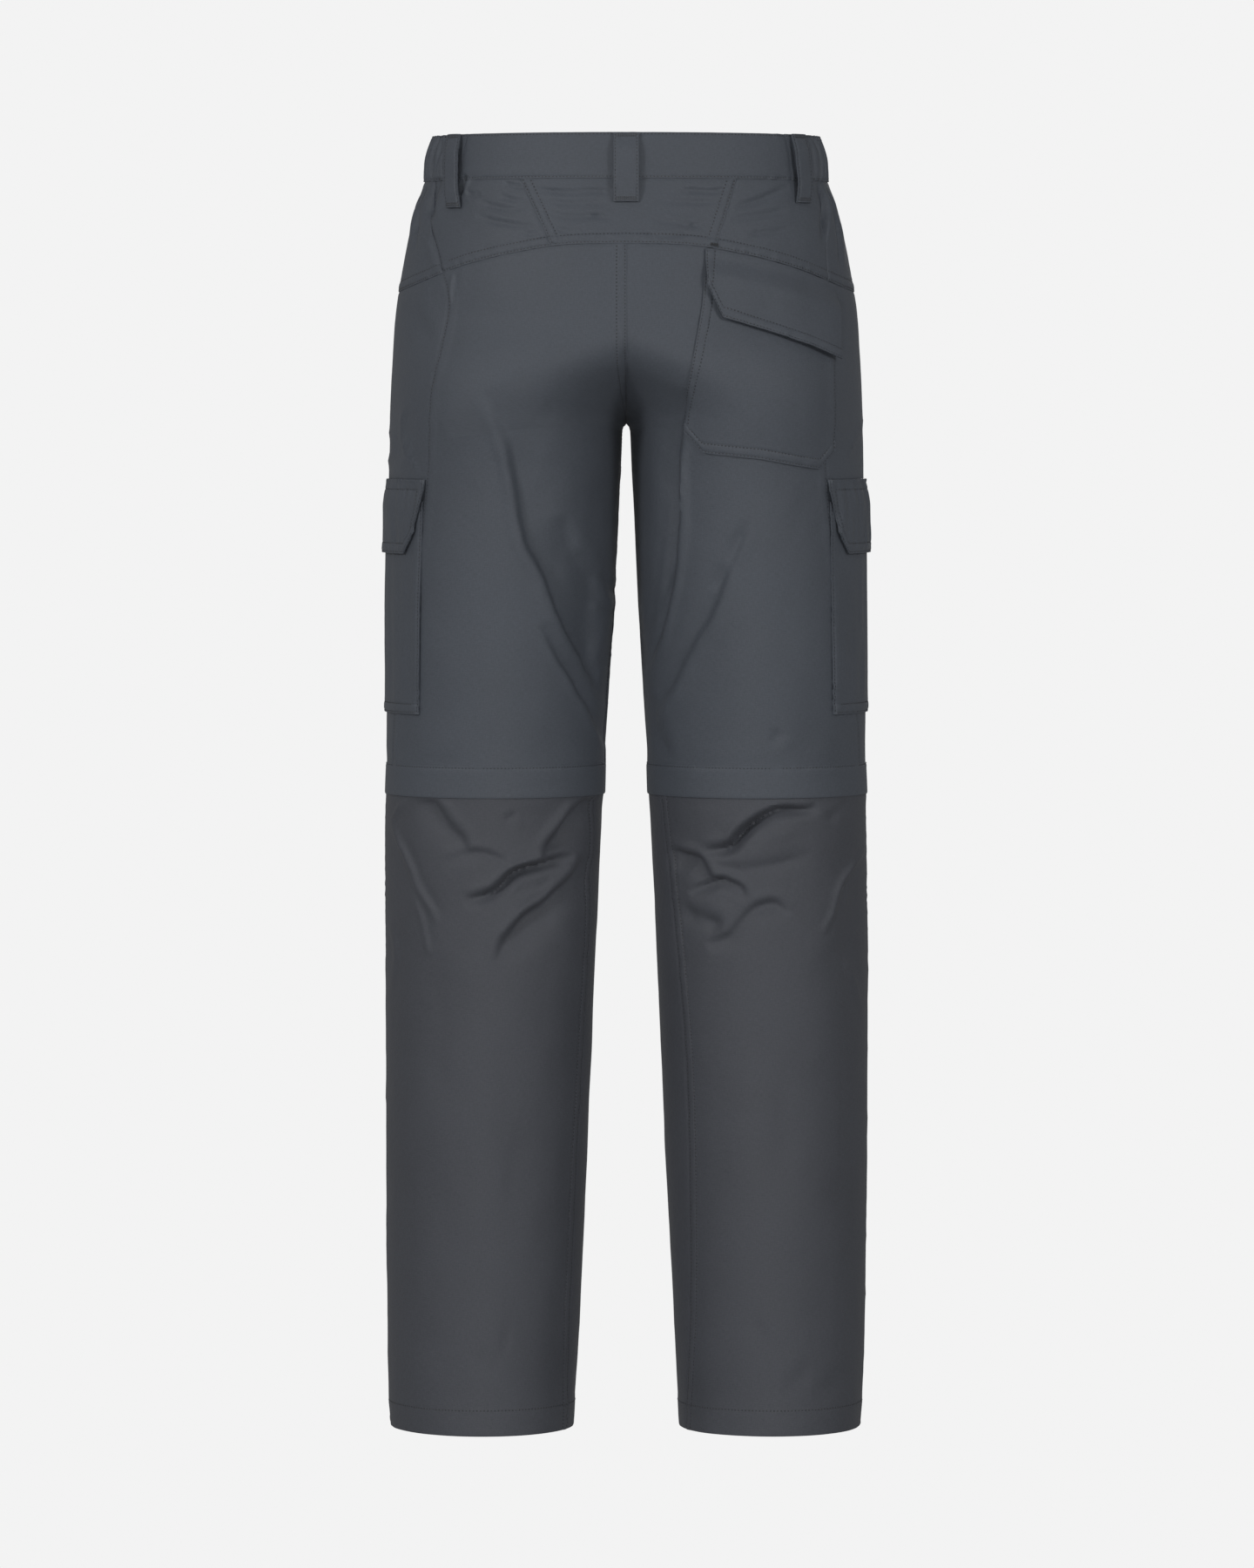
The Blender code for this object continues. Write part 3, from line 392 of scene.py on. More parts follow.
# Size of a yarn, the colours of the cloth and its trims, and the brightness of the background
YARN = 0.8
NYLON = (0.062, 0.070, 0.084)
NYLON_LOWER = (0.0545, 0.058, 0.068)
THREAD_PAINTED_SHADE = (0.011, 0.012, 0.015)
# Thread: painted shade. It is coloured far darker than the cloth to stand in for the shade in and between the
# stitch holes.
TAPE = (0.022, 0.024, 0.028)
PLASTIC = (0.020, 0.022, 0.025)
BACKGROUND = 0.896

# Floor in metres: half its size, its height, and where it starts and ends blending into the background
FLOOR_HALF_M = 40.0
FLOOR_HEIGHT_M = -1.5
FLOOR_PLAIN_M = 0.7
FLOOR_END_M = 2.2

# Soft lights in metres and watts: name, place, aim, size, power. The world is brighter above, on the left
# and behind the wearer.
LIGHTS = (
    ("key_left", (-3.6, -4.1, 2.0), (0, 0, -0.3), 1.2, 110),
    ("key_right", (3.4, -4.0, 1.4), (0, 0, -0.3), 1.2, 74),
    ("key_low", (0.0, -4.2, -1.3), (0, 0, -0.2), 0.9, 54),
    ("key_front", (0.5, 5.0, 2.2), (0, 0, -0.5), 2.2, 230),
)
WORLD_BELOW = 0.23
WORLD_ABOVE = 0.33
WORLD_LEAN_X = -0.14
WORLD_LEAN_Y = -0.15


def smooth(value):
    """Ease from 0 to 1."""
    value = np.clip(value, 0.0, 1.0)
    return value * value * (3.0 - 2.0 * value)


def between(low, high, share):
    """Value between two others."""
    return low + (high - low) * share


def curve(table, column=1):
    """Cubic curve through a table's rows, as a function of the first column."""
    rows = np.array(sorted(table), dtype=float)
    keys = rows[:, 0]
    values = rows[:, column]
    low = np.maximum(np.arange(len(keys)) - 1, 0)
    high = np.minimum(np.arange(len(keys)) + 1, len(keys) - 1)
    slopes = (values[high] - values[low]) / (keys[high] - keys[low])
    fine = np.linspace(keys[0], keys[-1], 6000)
    spot = np.clip(np.searchsorted(keys, fine) - 1, 0, len(keys) - 2)
    run = keys[spot + 1] - keys[spot]
    t = (fine - keys[spot]) / run
    line = ((2 * t ** 3 - 3 * t ** 2 + 1) * values[spot]
            + (t ** 3 - 2 * t ** 2 + t) * run * slopes[spot]
            + (3 * t ** 2 - 2 * t ** 3) * values[spot + 1]
            + (t ** 3 - t ** 2) * run * slopes[spot + 1])
    return lambda key: np.interp(key, fine, line)


def straight(table):
    """Straight-line reading of a table of pairs."""
    rows = np.array(sorted(table), dtype=float)
    return lambda key: np.interp(key, rows[:, 0], rows[:, 1])


outer_edge = curve(OUTER_EDGE)
inner_edge = curve(INNER_EDGE)
back_depth = curve(DEPTHS, 1)
front_depth = curve(DEPTHS, 2)
yoke_line = curve(YOKE_SEAM)
hip_line = straight(HIP_SEAM)
outseam_line = {LEFT: curve(OUTSEAM, 1), RIGHT: curve(OUTSEAM, 2)}
inseam_line = {LEFT: curve(INSEAM, 1), RIGHT: curve(INSEAM, 2)}


def section(z):
    """Centre, half width and depths of one half of the garment at each height."""
    outer = outer_edge(z)
    inner = inner_edge(z)
    fork = 1.0 - smooth((z - CROTCH) / FORK_HEIGHT)
    below = z < CROTCH
    half_width = np.where(below, (outer - inner) / 2, outer / (1.0 + fork))
    centre = np.where(below, (outer + inner) / 2, fork * half_width)
    return centre, half_width, back_depth(z), front_depth(z)


def form(side, angle, z):
    """Points of the smooth form. Angle 0 is the outer side and -90 degrees the back."""
    side, angle, z = np.broadcast_arrays(side, angle, z)
    centre, half_width, back, front = section(z)
    depth = np.where(np.sin(angle) > 0, front, back)
    inward = (1 - np.cos(angle)) / 2
    near_crotch = np.exp(-np.maximum(CROTCH - z, 0) / CROTCH_REACH)
    gap = np.where(z < CROTCH, inner_edge(z), 0.0) * (inward ** (1 + 5 * near_crotch) - inward)
    x = side * (centre + half_width * np.cos(angle) + gap)
    return np.stack([x, depth * np.sin(angle), z * 1.0], axis=-1)


def form_normal(side, angle, z):
    """Outward directions of the smooth form."""
    step = 0.012
    rise = 0.8
    along = form(side, angle + step, z) - form(side, angle - step, z)
    up = form(side, angle, z + rise) - form(side, angle, z - rise)
    across = np.cross(along, up) * np.broadcast_to(side, np.shape(z))[..., None]
    return across / np.linalg.norm(across, axis=-1, keepdims=True)


def angle_at(z, distance, facing="back"):
    """Angle whose point lies at a distance from the centre plane."""
    centre, half_width, _, _ = section(z)
    angle = np.arccos(np.clip((distance - centre) / half_width, -1.0, 1.0))
    return angle if facing == "front" else -angle


def centre_angle(z):
    """Angle of the centre seam above the crotch and of the inner seam of the thigh."""
    return np.where(z > CROTCH, angle_at(z, SEAM_GAP / 2, "front"), math.pi - SEAM_GAP / 2 / back_depth(z))


def gap_angle(z):
    """Half a seam gap as an angle."""
    return SEAM_GAP / 2 / section(z)[1]


def outseam_angle(side, z):
    """Angle of the side seam above the leg zip."""
    return angle_at(z, outseam_line[side](z))


def seam_height(side, angle, z):
    """Height of the seam under the yoke and the hip piece."""
    x = np.abs(form(side, angle, z)[..., 0])
    return np.where(angle <= 0, yoke_line(x), hip_line(np.degrees(angle)))


def stations(length, pitch, fine=None):
    """Shares from 0 to 1, closer together near both ends and in a fine stretch of (start, end, pitch)."""
    steps = np.array(EDGE_STEPS if length > 3 * EDGE_STEPS[-1] else SHORT_EDGE_STEPS)
    spots = np.linspace(steps[-1], length - steps[-1], 2000)
    pitches = np.full(spots.shape, pitch)
    if fine:
        pitches = np.where((spots > fine[0]) & (spots < fine[1]), fine[2], pitches)
    counts = np.concatenate([[0], np.cumsum(np.diff(spots) / pitches[1:])])
    middle = np.interp(np.linspace(0, counts[-1], max(int(counts[-1]), 2) + 1)[1:-1], counts, spots)
    return np.concatenate([steps, middle, length - steps[::-1]]) / length


def share_grid(width, length, pitch, down_pitch=None):
    """Shares across and down a piece. Its rough width and length set how many mesh points it gets."""
    return np.meshgrid(stations(width, pitch), stations(length, down_pitch or pitch))


def soft_noise(points, size, seed):
    """Smooth noise from -1 to 1, whose bumps are about size across."""
    table = np.random.default_rng(seed).random((NOISE_CELLS, NOISE_CELLS, NOISE_CELLS)) * 2 - 1
    spot = points / np.array(size, dtype=float) + NOISE_SHIFT
    low = np.floor(spot).astype(int)
    share = smooth(spot - low)
    total = np.zeros(points.shape[:-1])
    for corner in np.ndindex(2, 2, 2):
        weight = np.ones(points.shape[:-1])
        for axis, up in enumerate(corner):
            weight = weight * (share[..., axis] if up else 1 - share[..., axis])
        index = (low + np.array(corner)) % NOISE_CELLS
        total += weight * table[index[..., 0], index[..., 1], index[..., 2]]
    return total


def undulation(points, height, size, seed):
    """Smooth noise of a given height."""
    return height * soft_noise(points, size, seed)


def bend(points):
    """Smooth line through a few points."""
    points = np.array(points, dtype=float)
    if len(points) == 2:
        return points
    places = np.linspace(0, len(points) - 1, CREASE_POINTS)
    table = [(spot, x, z) for spot, (x, z) in enumerate(points)]
    return np.stack([curve(table, 1)(places), curve(table, 2)(places)], axis=-1)


def crease_push(x, z, crease, wobble):
    """Inward push of one crease, fading at its ends and uneven along its length."""
    points, depth, left_width, right_width = crease
    line = bend(points)
    run = line[1:] - line[:-1]
    lengths = np.linalg.norm(run, axis=1)
    before = np.concatenate([[0], np.cumsum(lengths)])
    reach = CREASE_REACH * max(left_width, right_width)
    push = np.zeros(x.shape)
    near = ((x > line[:, 0].min() - reach) & (x < line[:, 0].max() + reach)
            & (z > line[:, 1].min() - reach) & (z < line[:, 1].max() + reach))
    if not near.any():
        return push
    spot = np.stack([x[near], z[near]], axis=-1)
    best = np.full(len(spot), 1e9)
    signed = np.zeros(len(spot))
    along = np.zeros(len(spot))
    for number, (start, way, length) in enumerate(zip(line, run, lengths)):
        off = spot - start
        share = np.clip((off @ way) / length ** 2, 0, 1)
        gap = np.linalg.norm(off - share[:, None] * way, axis=1)
        closer = gap < best
        best = np.where(closer, gap, best)
        left = way[0] * off[:, 1] - way[1] * off[:, 0] > 0
        signed = np.where(closer, np.where(left, gap, -gap), signed)
        along = np.where(closer, (before[number] + share * length) / before[-1], along)
    narrow = min(left_width, right_width)
    signed = signed + wobble[near] * narrow * CREASE_WANDER
    width = np.where(signed > 0, left_width, right_width)
    on_narrow = (signed > 0) == (left_width <= right_width)
    bank = np.exp(-((np.abs(signed) - BANK_PLACE * narrow) / (BANK_WIDTH * narrow)) ** 2)
    shape = np.exp(-(signed / width) ** 2) - BANK_HEIGHT * np.where(on_narrow, bank, 0)
    fade = np.minimum(1.5 * np.sin(math.pi * np.clip(along, 0, 1)), 1.0) ** 0.8
    uneven = 1 + CREASE_UNEVEN * np.sin(9.0 * along + 0.7 * points[0][0])
    push[near] = depth * shape * fade * uneven
    return push


def relief(base):
    """How far the cloth lies outside the smooth form: soft undulations and creases."""
    x, y, z = base[..., 0], base[..., 1], base[..., 2]
    below_band = smooth((BAND_BOTTOM - BAND_FLAT[0] - z) / BAND_FLAT[1])
    cover = smooth((np.abs(z - (COVER_TOP + COVER_BOTTOM) / 2) - COVER_FLAT[0]) / COVER_FLAT[1])
    height = undulation(base, *BROAD_UNDULATION) * below_band * cover
    height += undulation(base, *MIDDLE_UNDULATION) * below_band * cover
    height += undulation(base, *SMALL_UNDULATION) * below_band
    height += undulation(base, *FINE_UNDULATION)
    wobble = soft_noise(base, (13, 13, 13), 11)
    back_share = smooth((BACK_TO_FRONT[0] - y) / BACK_TO_FRONT[1])
    for creases, share in ((BACK_CREASES, back_share), (FRONT_CREASES, 1 - back_share)):
        push = sum(crease_push(x, z, crease, wobble) for crease in creases)
        height -= CREASE_SHARE * push * share
    under_cover = smooth((COVER_BOTTOM - z) / COVER_ROOM)
    above_cover = smooth((z - COVER_TOP) / COVER_ROOM)
    room = np.where(z < ZIP_LINE, under_cover, above_cover)
    return np.where(height > 0, height * room, height * smooth(room * 1.6))


def gather_wave(angle, count, depth):
    """Round folds with sharp valleys between the ends of the elastic, fading at both ends."""
    share = (np.degrees(angle) + ELASTIC_BACK_DEG) / (ELASTIC_BACK_DEG + ELASTIC_FRONT_DEG)
    fade = smooth((share - 0.02) * GATHER_FADE) * smooth((1 - share) * GATHER_FADE)
    # Waves of unlike lengths make the depth and the spacing uneven
    uneven = 1 + 0.4 * np.sin(17 * share + 1.3)
    drift = 0.45 * np.sin(11 * share) + 0.3 * np.sin(29 * share + 2.0)
    fold = np.abs(np.cos(math.pi * count * share + drift)) ** 0.75
    return depth * fade * uneven * (1.9 * fold - 1.2)


def lengths_along(points, axis):
    """Length of the cloth from its first row or column."""
    steps = np.linalg.norm(np.diff(points, axis=axis), axis=-1)
    start = np.zeros_like(np.take(steps, [0], axis=axis))
    return np.concatenate([start, np.cumsum(steps, axis=axis)], axis=axis)


def grid_normals(points, guide, closed):
    """Outward directions of a grid of points, on the same side as guide."""
    if closed:
        across = np.roll(points, -1, axis=1) - np.roll(points, 1, axis=1)
    else:
        across = np.gradient(points, axis=1)
    down = np.gradient(points, axis=0)
    normal = np.cross(across, down)
    normal /= np.maximum(np.linalg.norm(normal, axis=-1, keepdims=True), 1e-9)
    facing = np.sign(np.sum(normal * guide, axis=-1, keepdims=True))
    return normal * np.where(facing == 0, 1, facing)


def edge_height(distance, kind):
    """Height of the cloth near one of its edges."""
    depth, reach = EDGE_DROPS[kind]
    height = -depth * np.exp(-(distance / reach) ** 2)
    if kind == "lap":
        height = LAP_RISE * np.exp(-(distance / LAP_REACH) ** 6) + height
    return height


def grid_faces(rows, columns, closed):
    """Faces of a closed shell whose outside and inside are grids of points."""
    index = np.arange(rows * columns).reshape(rows, columns)
    across = index
    if closed:
        across = np.concatenate([index, index[:, :1]], axis=1)
    a, b = across[:-1, :-1], across[:-1, 1:]
    c, d = across[1:, 1:], across[1:, :-1]
    outside = np.stack([a, b, c, d], axis=-1).reshape(-1, 4)
    inside = outside[:, ::-1] + rows * columns
    borders = [across[0], across[-1][::-1]]
    if not closed:
        borders += [index[::-1, 0], index[:, -1]]
    rims = []
    for border in borders:
        start, end = border[:-1], border[1:]
        rims.append(np.stack([end, start, start + rows * columns, end + rows * columns], axis=-1))
    return np.concatenate([outside, inside] + rims)


def add_mesh(name, verts, faces, material, uv=None, sharp_deg=50):
    """Mesh object from points in millimetres."""
    mesh = bpy.data.meshes.new(name)
    mesh.from_pydata(verts * MM, [], faces)
    mesh.validate()
    if uv is not None:
        layer = mesh.uv_layers.new(name="cloth")
        corners = np.zeros(len(mesh.loops), dtype=np.int32)
        mesh.loops.foreach_get("vertex_index", corners)
        layer.data.foreach_set("uv", (uv[corners] * MM).astype(np.float32).ravel())
    mesh.shade_smooth()
    mesh.set_sharp_from_angle(angle=math.radians(sharp_deg))
    item = bpy.data.objects.new(name, mesh)
    bpy.context.scene.collection.objects.link(item)
    mesh.materials.append(material)
    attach(item, BODY)
    return item


stitches = {}


def add_stitches(place, line, outward, pitch=STITCH_PITCH, length=STITCH_LENGTH, trim=(0.0, 0.0)):
    """Keep the ends and outward directions of the stitches along a line of points."""
    steps = np.linalg.norm(np.diff(line, axis=0), axis=1)
    places = np.concatenate([[0], np.cumsum(steps)])
    reach = places[-1] - trim[0] - trim[1]
    count = int(reach / pitch)
    if count < 1:
        return
    starts = trim[0] + (reach - count * pitch) / 2 + np.arange(count) * pitch + (pitch - length) / 2

    def read(values, spots):
        return np.stack([np.interp(spots, places, values[:, axis]) for axis in range(3)], axis=-1)

    stitches.setdefault(place, []).append((read(line, starts), read(line, starts + length),
                                           read(outward, starts + length / 2)))


def sew_edge(place, points, normals, edge, offset, trim=(0.0, 0.0)):
    """Row of stitches at an even distance from one edge of a grid."""
    if edge in ("left", "right"):
        points, normals = points.swapaxes(0, 1), normals.swapaxes(0, 1)
    if edge in ("bottom", "right"):
        points, normals = points[::-1], normals[::-1]
    down = lengths_along(points, 0)
    line = []
    outward = []
    for column in range(points.shape[1]):
        spot = np.interp(offset, down[:, column], np.arange(len(points)))
        row = min(int(spot), len(points) - 2)
        line.append(between(points[row, column], points[row + 1, column], spot - row))
        outward.append(normals[row, column])
    add_stitches(place, np.array(line), np.array(outward), trim=trim)


def add_cloth(node, base, normal, lift, edges, sewing, closed=False, material="nylon", relief_share=1.0,
              place="sewing_upper"):
    """Thin shell that stands for one cloth solid, with its edges, grooves and rows of stitches."""
    rows, columns = base.shape[:2]
    down = lengths_along(base, 0)
    across = lengths_along(base, 1)
    distance = {"top": down, "bottom": down[-1:] - down}
    if not closed:
        distance["left"] = across
        distance["right"] = across[:, -1:] - across
    height = lift + relief_share * relief(base)
    for edge, kind in edges.items():
        height = height + edge_height(distance[edge], kind)
    for edge, offsets in sewing.items():
        along = across if edge in ("top", "bottom") else down
        spots = np.stack([along, distance[edge] / 4, 0 * along + len(node)], axis=-1)
        pucker = soft_noise(spots, PUCKER_SIZE, 21) * between(0.4, 1.0, soft_noise(spots, 30.0, 22) > 0)
        height = height + PUCKER_DEPTH * pucker * np.exp(-(distance[edge] / PUCKER_REACH[len(offsets)]) ** 4)
        for offset in offsets:
            height = height - GROOVE_DEPTH * np.exp(-((distance[edge] - offset) / GROOVE_WIDTH) ** 2)
    # Beside the centre plane the cloth moves only to the front or back, so the centre seam stays shut
    away = normal * np.stack([smooth(np.abs(base[..., 0]) / 8), np.ones(height.shape), np.ones(height.shape)],
                             axis=-1)
    outer = base + away * height[..., None]
    inner = outer - away * CLOTH
    faces = grid_faces(rows, columns, closed)
    uv = np.stack([across, base[..., 2]], axis=-1).reshape(-1, 2)
    item = add_mesh(node + "_cloth", np.concatenate([outer.reshape(-1, 3), inner.reshape(-1, 3)]), faces,
                    materials[material], np.concatenate([uv, uv]))
    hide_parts(node)
    outward = grid_normals(outer, normal, closed)
    order = {"top": ("left", "right"), "bottom": ("left", "right"), "left": ("top", "bottom"),
             "right": ("top", "bottom")}
    for edge, offsets in sewing.items():
        for offset in offsets:
            trim = tuple(offset if near in sewing else 0.0 for near in order[edge])
            sew_edge(place, outer, outward, edge, offset, trim)
    declare_sheet(base, down, across, closed)
    return outer, outward


def declare_sheet(base, down, across, closed):
    """Work out the cut size of a shell, its width and length laid flat and its area, without passing it on.
    """
    width = across[:, -1].max()
    ring = base
    if closed:
        width += np.linalg.norm(base[:, -1] - base[:, 0], axis=-1).max()
        ring = np.concatenate([base, base[:, :1]], axis=1)
    length = down[-1].max()
    one = np.cross(ring[1:, 1:] - ring[:-1, :-1], ring[1:, :-1] - ring[:-1, 1:])
    area = np.linalg.norm(one, axis=-1).sum() / 2
    flat = (width * MM, length * MM)
    area = min(area * MM * MM, flat[0] * flat[1])


def half_grid(side, angle, z):
    """Points and outward directions of part of one half of the form."""
    return form(side, angle, z), form_normal(side, angle, z)


def torso_grid(x, z, facing="back"):
    """Points and outward directions by distance from the centre plane, negative on the left."""
    side = np.where(x > 0, RIGHT, LEFT)
    return half_grid(side, angle_at(z, np.abs(x), facing), z)


def add_waistband():
    """Plain back and fronts with a gathered elastic stretch at each side."""
    levels = between(BAND_TOP, BAND_BOTTOM, stations(BAND_TOP - BAND_BOTTOM, PITCH_TRIM))
    edges = {"top": "roll", "bottom": "lap"}
    sewing = {"bottom": ONE_ROW, "top": ONE_ROW}
    gap = gap_angle(0.0)
    back_end = math.radians(ELASTIC_BACK_DEG)
    front_start = math.radians(ELASTIC_FRONT_DEG)

    shares = stations(330, PITCH_BACK)
    turn, z = np.meshgrid(between(-math.pi + back_end + gap, -back_end - gap, shares), levels)
    side = np.where(turn > -math.pi / 2, RIGHT, LEFT)
    angle = np.where(turn > -math.pi / 2, turn, -math.pi - turn)
    base, normal = half_grid(side, angle, z)
    add_cloth("waistband_back", base, normal, 0.0, {**edges, "left": "tuck", "right": "tuck"}, sewing)

    for side in (LEFT, RIGHT):
        name = SIDE_NAMES[side]
        angle, z = np.meshgrid(between(-back_end + gap, front_start - gap, stations(170, PITCH_RIB)), levels)
        base, normal = half_grid(side, angle, z)
        wave = gather_wave(angle + 0.004 * np.sin(z / 7), GATHERS, GATHER_DEPTH)
        wave = wave * between(1.0, GATHER_EDGE_SHARE, (np.abs(z) / BAND_TOP) ** 2)
        wave = wave * between(GATHER_BACK_SHARE, 1.0, smooth((angle + back_end) / back_end))
        add_cloth("waistband_elastic_" + name, base, normal, wave, edges, sewing)

        middle = math.pi / 2 - side * FLY_RIGHT / outer_edge(0)
        shares = stations(160, PITCH_FRONT)
        angle, z = np.meshgrid(between(front_start + gap, middle - gap, shares), levels)
        base, normal = half_grid(side, angle, z)
        ends = {**edges, "left": "tuck", "right": "roll"}
        add_cloth("waistband_front_" + name, base, normal, 0.0, ends, {**sewing, "right": ONE_ROW})


def slant_line(side, z):
    """Distance from the centre of a slanted yoke seam."""
    at_band, at_seam = SLANT[side]
    return between(at_band, at_seam, (z - BAND_BOTTOM) / (YOKE_SEAM[0][1] - BAND_BOTTOM))


def add_yokes():
    """Three yoke pieces across the back and a hip piece at each side."""
    top = BAND_BOTTOM - SEAM_GAP
    seams = (
        lambda z: -outseam_line[LEFT](z),
        lambda z: -slant_line(LEFT, z),
        lambda z: slant_line(RIGHT, z),
        outseam_line[RIGHT],
    )
    pieces = (
        ("yoke_left", 90, {"left": "seam", "right": "tuck"}, {"left": ONE_ROW}),
        ("yoke_centre", 150, {"left": "lap", "right": "lap"}, {"left": TWO_ROWS, "right": TWO_ROWS}),
        ("yoke_right", 90, {"left": "tuck", "right": "tuck"}, {}),
    )
    for (name, width, edges, sewing), left_seam, right_seam in zip(pieces, seams, seams[1:]):
        shares, down = share_grid(width, 58, PITCH_RIB, PITCH_TRIM)
        z = between(top, YOKE_SEAM[0][1], down)
        for _ in range(EDGE_ROUNDS):
            x = between(left_seam(z) + SEAM_GAP / 2, right_seam(z) - SEAM_GAP / 2, shares)
            z = between(top, yoke_line(np.abs(x)) + SEAM_GAP / 2, down)
        base, normal = torso_grid(x, z)
        add_cloth(name, base, normal, 0.0, {**edges, "top": "tuck", "bottom": "lap"},
                  {**sewing, "bottom": TWO_ROWS})

    x = np.linspace(*TACK_ENDS, 8)[None]
    for rise in TACK_RISE:
        base, normal = torso_grid(x, yoke_line(x) + rise)
        add_stitches("sewing_upper", (base + normal * 1.3)[0], normal[0], pitch=1.4, length=1.3)

    for side in (LEFT, RIGHT):
        shares, down = share_grid(150, 70, PITCH_RIB, PITCH_TRIM)
        z = np.full(shares.shape, top)
        for _ in range(EDGE_ROUNDS):
            start = outseam_angle(side, z) + gap_angle(z)
            angle = between(start, math.radians(HIP_END_DEG), shares)
            z = between(top, seam_height(side, angle, z) + SEAM_GAP / 2, down)
        base, normal = half_grid(side, angle, z)
        fade = smooth((z - top + HIP_GATHER_REACH) / HIP_GATHER_REACH) * smooth((1 - down) * 3)
        wave = gather_wave(angle, HIP_GATHERS, HIP_GATHER_DEPTH) * fade * smooth(down * 4)
        forward = smooth((np.degrees(angle) + ELASTIC_BACK_DEG) / ELASTIC_BACK_DEG)
        wave = wave * between(HIP_GATHER_BACK_SHARE, 1.0, forward)
        add_cloth("hip_piece_" + SIDE_NAMES[side], base, normal, wave,
                  {"top": "tuck", "left": "seam", "bottom": "lap"}, {"bottom": TWO_ROWS})


def back_range(side, z):
    """Angles of a back panel's centre edge and side seam."""
    middle = centre_angle(z)
    if side == LEFT:
        middle = np.where(z > CROTCH, angle_at(z, -CENTRE_LAP, "front"), middle)
    return -middle, outseam_angle(side, z) - gap_angle(z)


def front_range(side, z):
    """Angles of a front panel's side seam and centre edge."""
    return outseam_angle(side, z) + gap_angle(z), centre_angle(z)


def add_upper_legs():
    """Back and front panels from the yoke to the leg zip."""
    for side in (LEFT, RIGHT):
        name = SIDE_NAMES[side]
        centre_kind = "lap" if side == LEFT else "tuck"
        centre_rows = {"left": TWO_ROWS} if side == LEFT else {}
        pieces = (
            ("back_panel_" + name, back_range, 250, PITCH_BACK, {"left": centre_kind, "right": "lap"},
             {**centre_rows, "right": ONE_ROW}),
            ("front_panel_" + name, front_range, 260, PITCH_FRONT, {"left": "tuck", "right": "roll"}, {}),
        )
        for node, angle_range, width, pitch, edges, sewing in pieces:
            shares, down = share_grid(width, 420, pitch)
            top = np.full(shares.shape, -100.0)
            for _ in range(PANEL_ROUNDS):
                low, high = angle_range(side, top)
                angle = between(low, high, shares)
                top = np.minimum(seam_height(side, angle, top), BAND_BOTTOM - SEAM_GAP) - SEAM_GAP / 2
            z = between(top[:1], ZIP_LINE, down)
            low, high = angle_range(side, z)
            angle = between(low, high, shares)
            base, normal = half_grid(side, angle, z)
            add_cloth(node, base, normal, 0.0, {**edges, "top": "tuck"}, sewing)


def add_leg_zips():
    """Cover band over each leg zip."""
    for side in (LEFT, RIGHT):
        name = SIDE_NAMES[side]
        turn = np.linspace(-math.pi, math.pi, int(560 / PITCH_BACK) + 1)[:-1]
        angle, down = np.meshgrid(turn, stations(COVER_TOP - COVER_BOTTOM, PITCH_TRIM))
        z = between(COVER_TOP, COVER_BOTTOM, down)
        base, normal = half_grid(side, angle, z)
        lift = between(0.0, 1.0, down ** 0.5) + 0.4 + 0.15 * soft_noise(base, (30, 30, 30), 31)
        add_cloth("zip_cover_" + name, base, normal, lift, {"top": "roll", "bottom": "roll"},
                  {"top": ONE_ROW}, closed=True, relief_share=0.0, place="sewing_covers")


def add_lower_legs():
    """Back and front panels below the leg zip."""
    for side in (LEFT, RIGHT):
        name = SIDE_NAMES[side]
        pieces = (
            ("lower_leg_back_" + name, "back", 230, PITCH_KNEE),
            ("lower_leg_front_" + name, "front", 270, PITCH_FRONT),
        )
        for node, facing, width, pitch in pieces:
            levels = stations(530, PITCH_CALF, (*KNEE_STRETCH, pitch))
            shares, down = np.meshgrid(stations(width, pitch), levels)
            z = between(ZIP_LINE - SEAM_GAP, HEM, down)
            gap = gap_angle(z)
            inner = -np.radians(inseam_line[side](z))
            if facing == "back":
                angle = between(inner + gap, -gap, shares)
                edges = {"left": "lap", "right": "lap", "bottom": "roll"}
                sewing = {"left": TWO_ROWS, "right": ONE_ROW}
            else:
                angle = between(gap, 2 * math.pi + inner - gap, shares)
                edges = {"left": "tuck", "right": "tuck", "bottom": "roll"}
                sewing = {}
            base, normal = half_grid(side, angle, z)
            hem = HEM_RISE * smooth((HEM + HEM_ROW + 1 - z) / 2.0)
            outer, outward = add_cloth(node, base, normal, hem, edges, sewing, material="nylon_lower",
                                       place="sewing_" + name)
            sew_edge("sewing_" + name, outer, outward, "bottom", HEM_ROW)


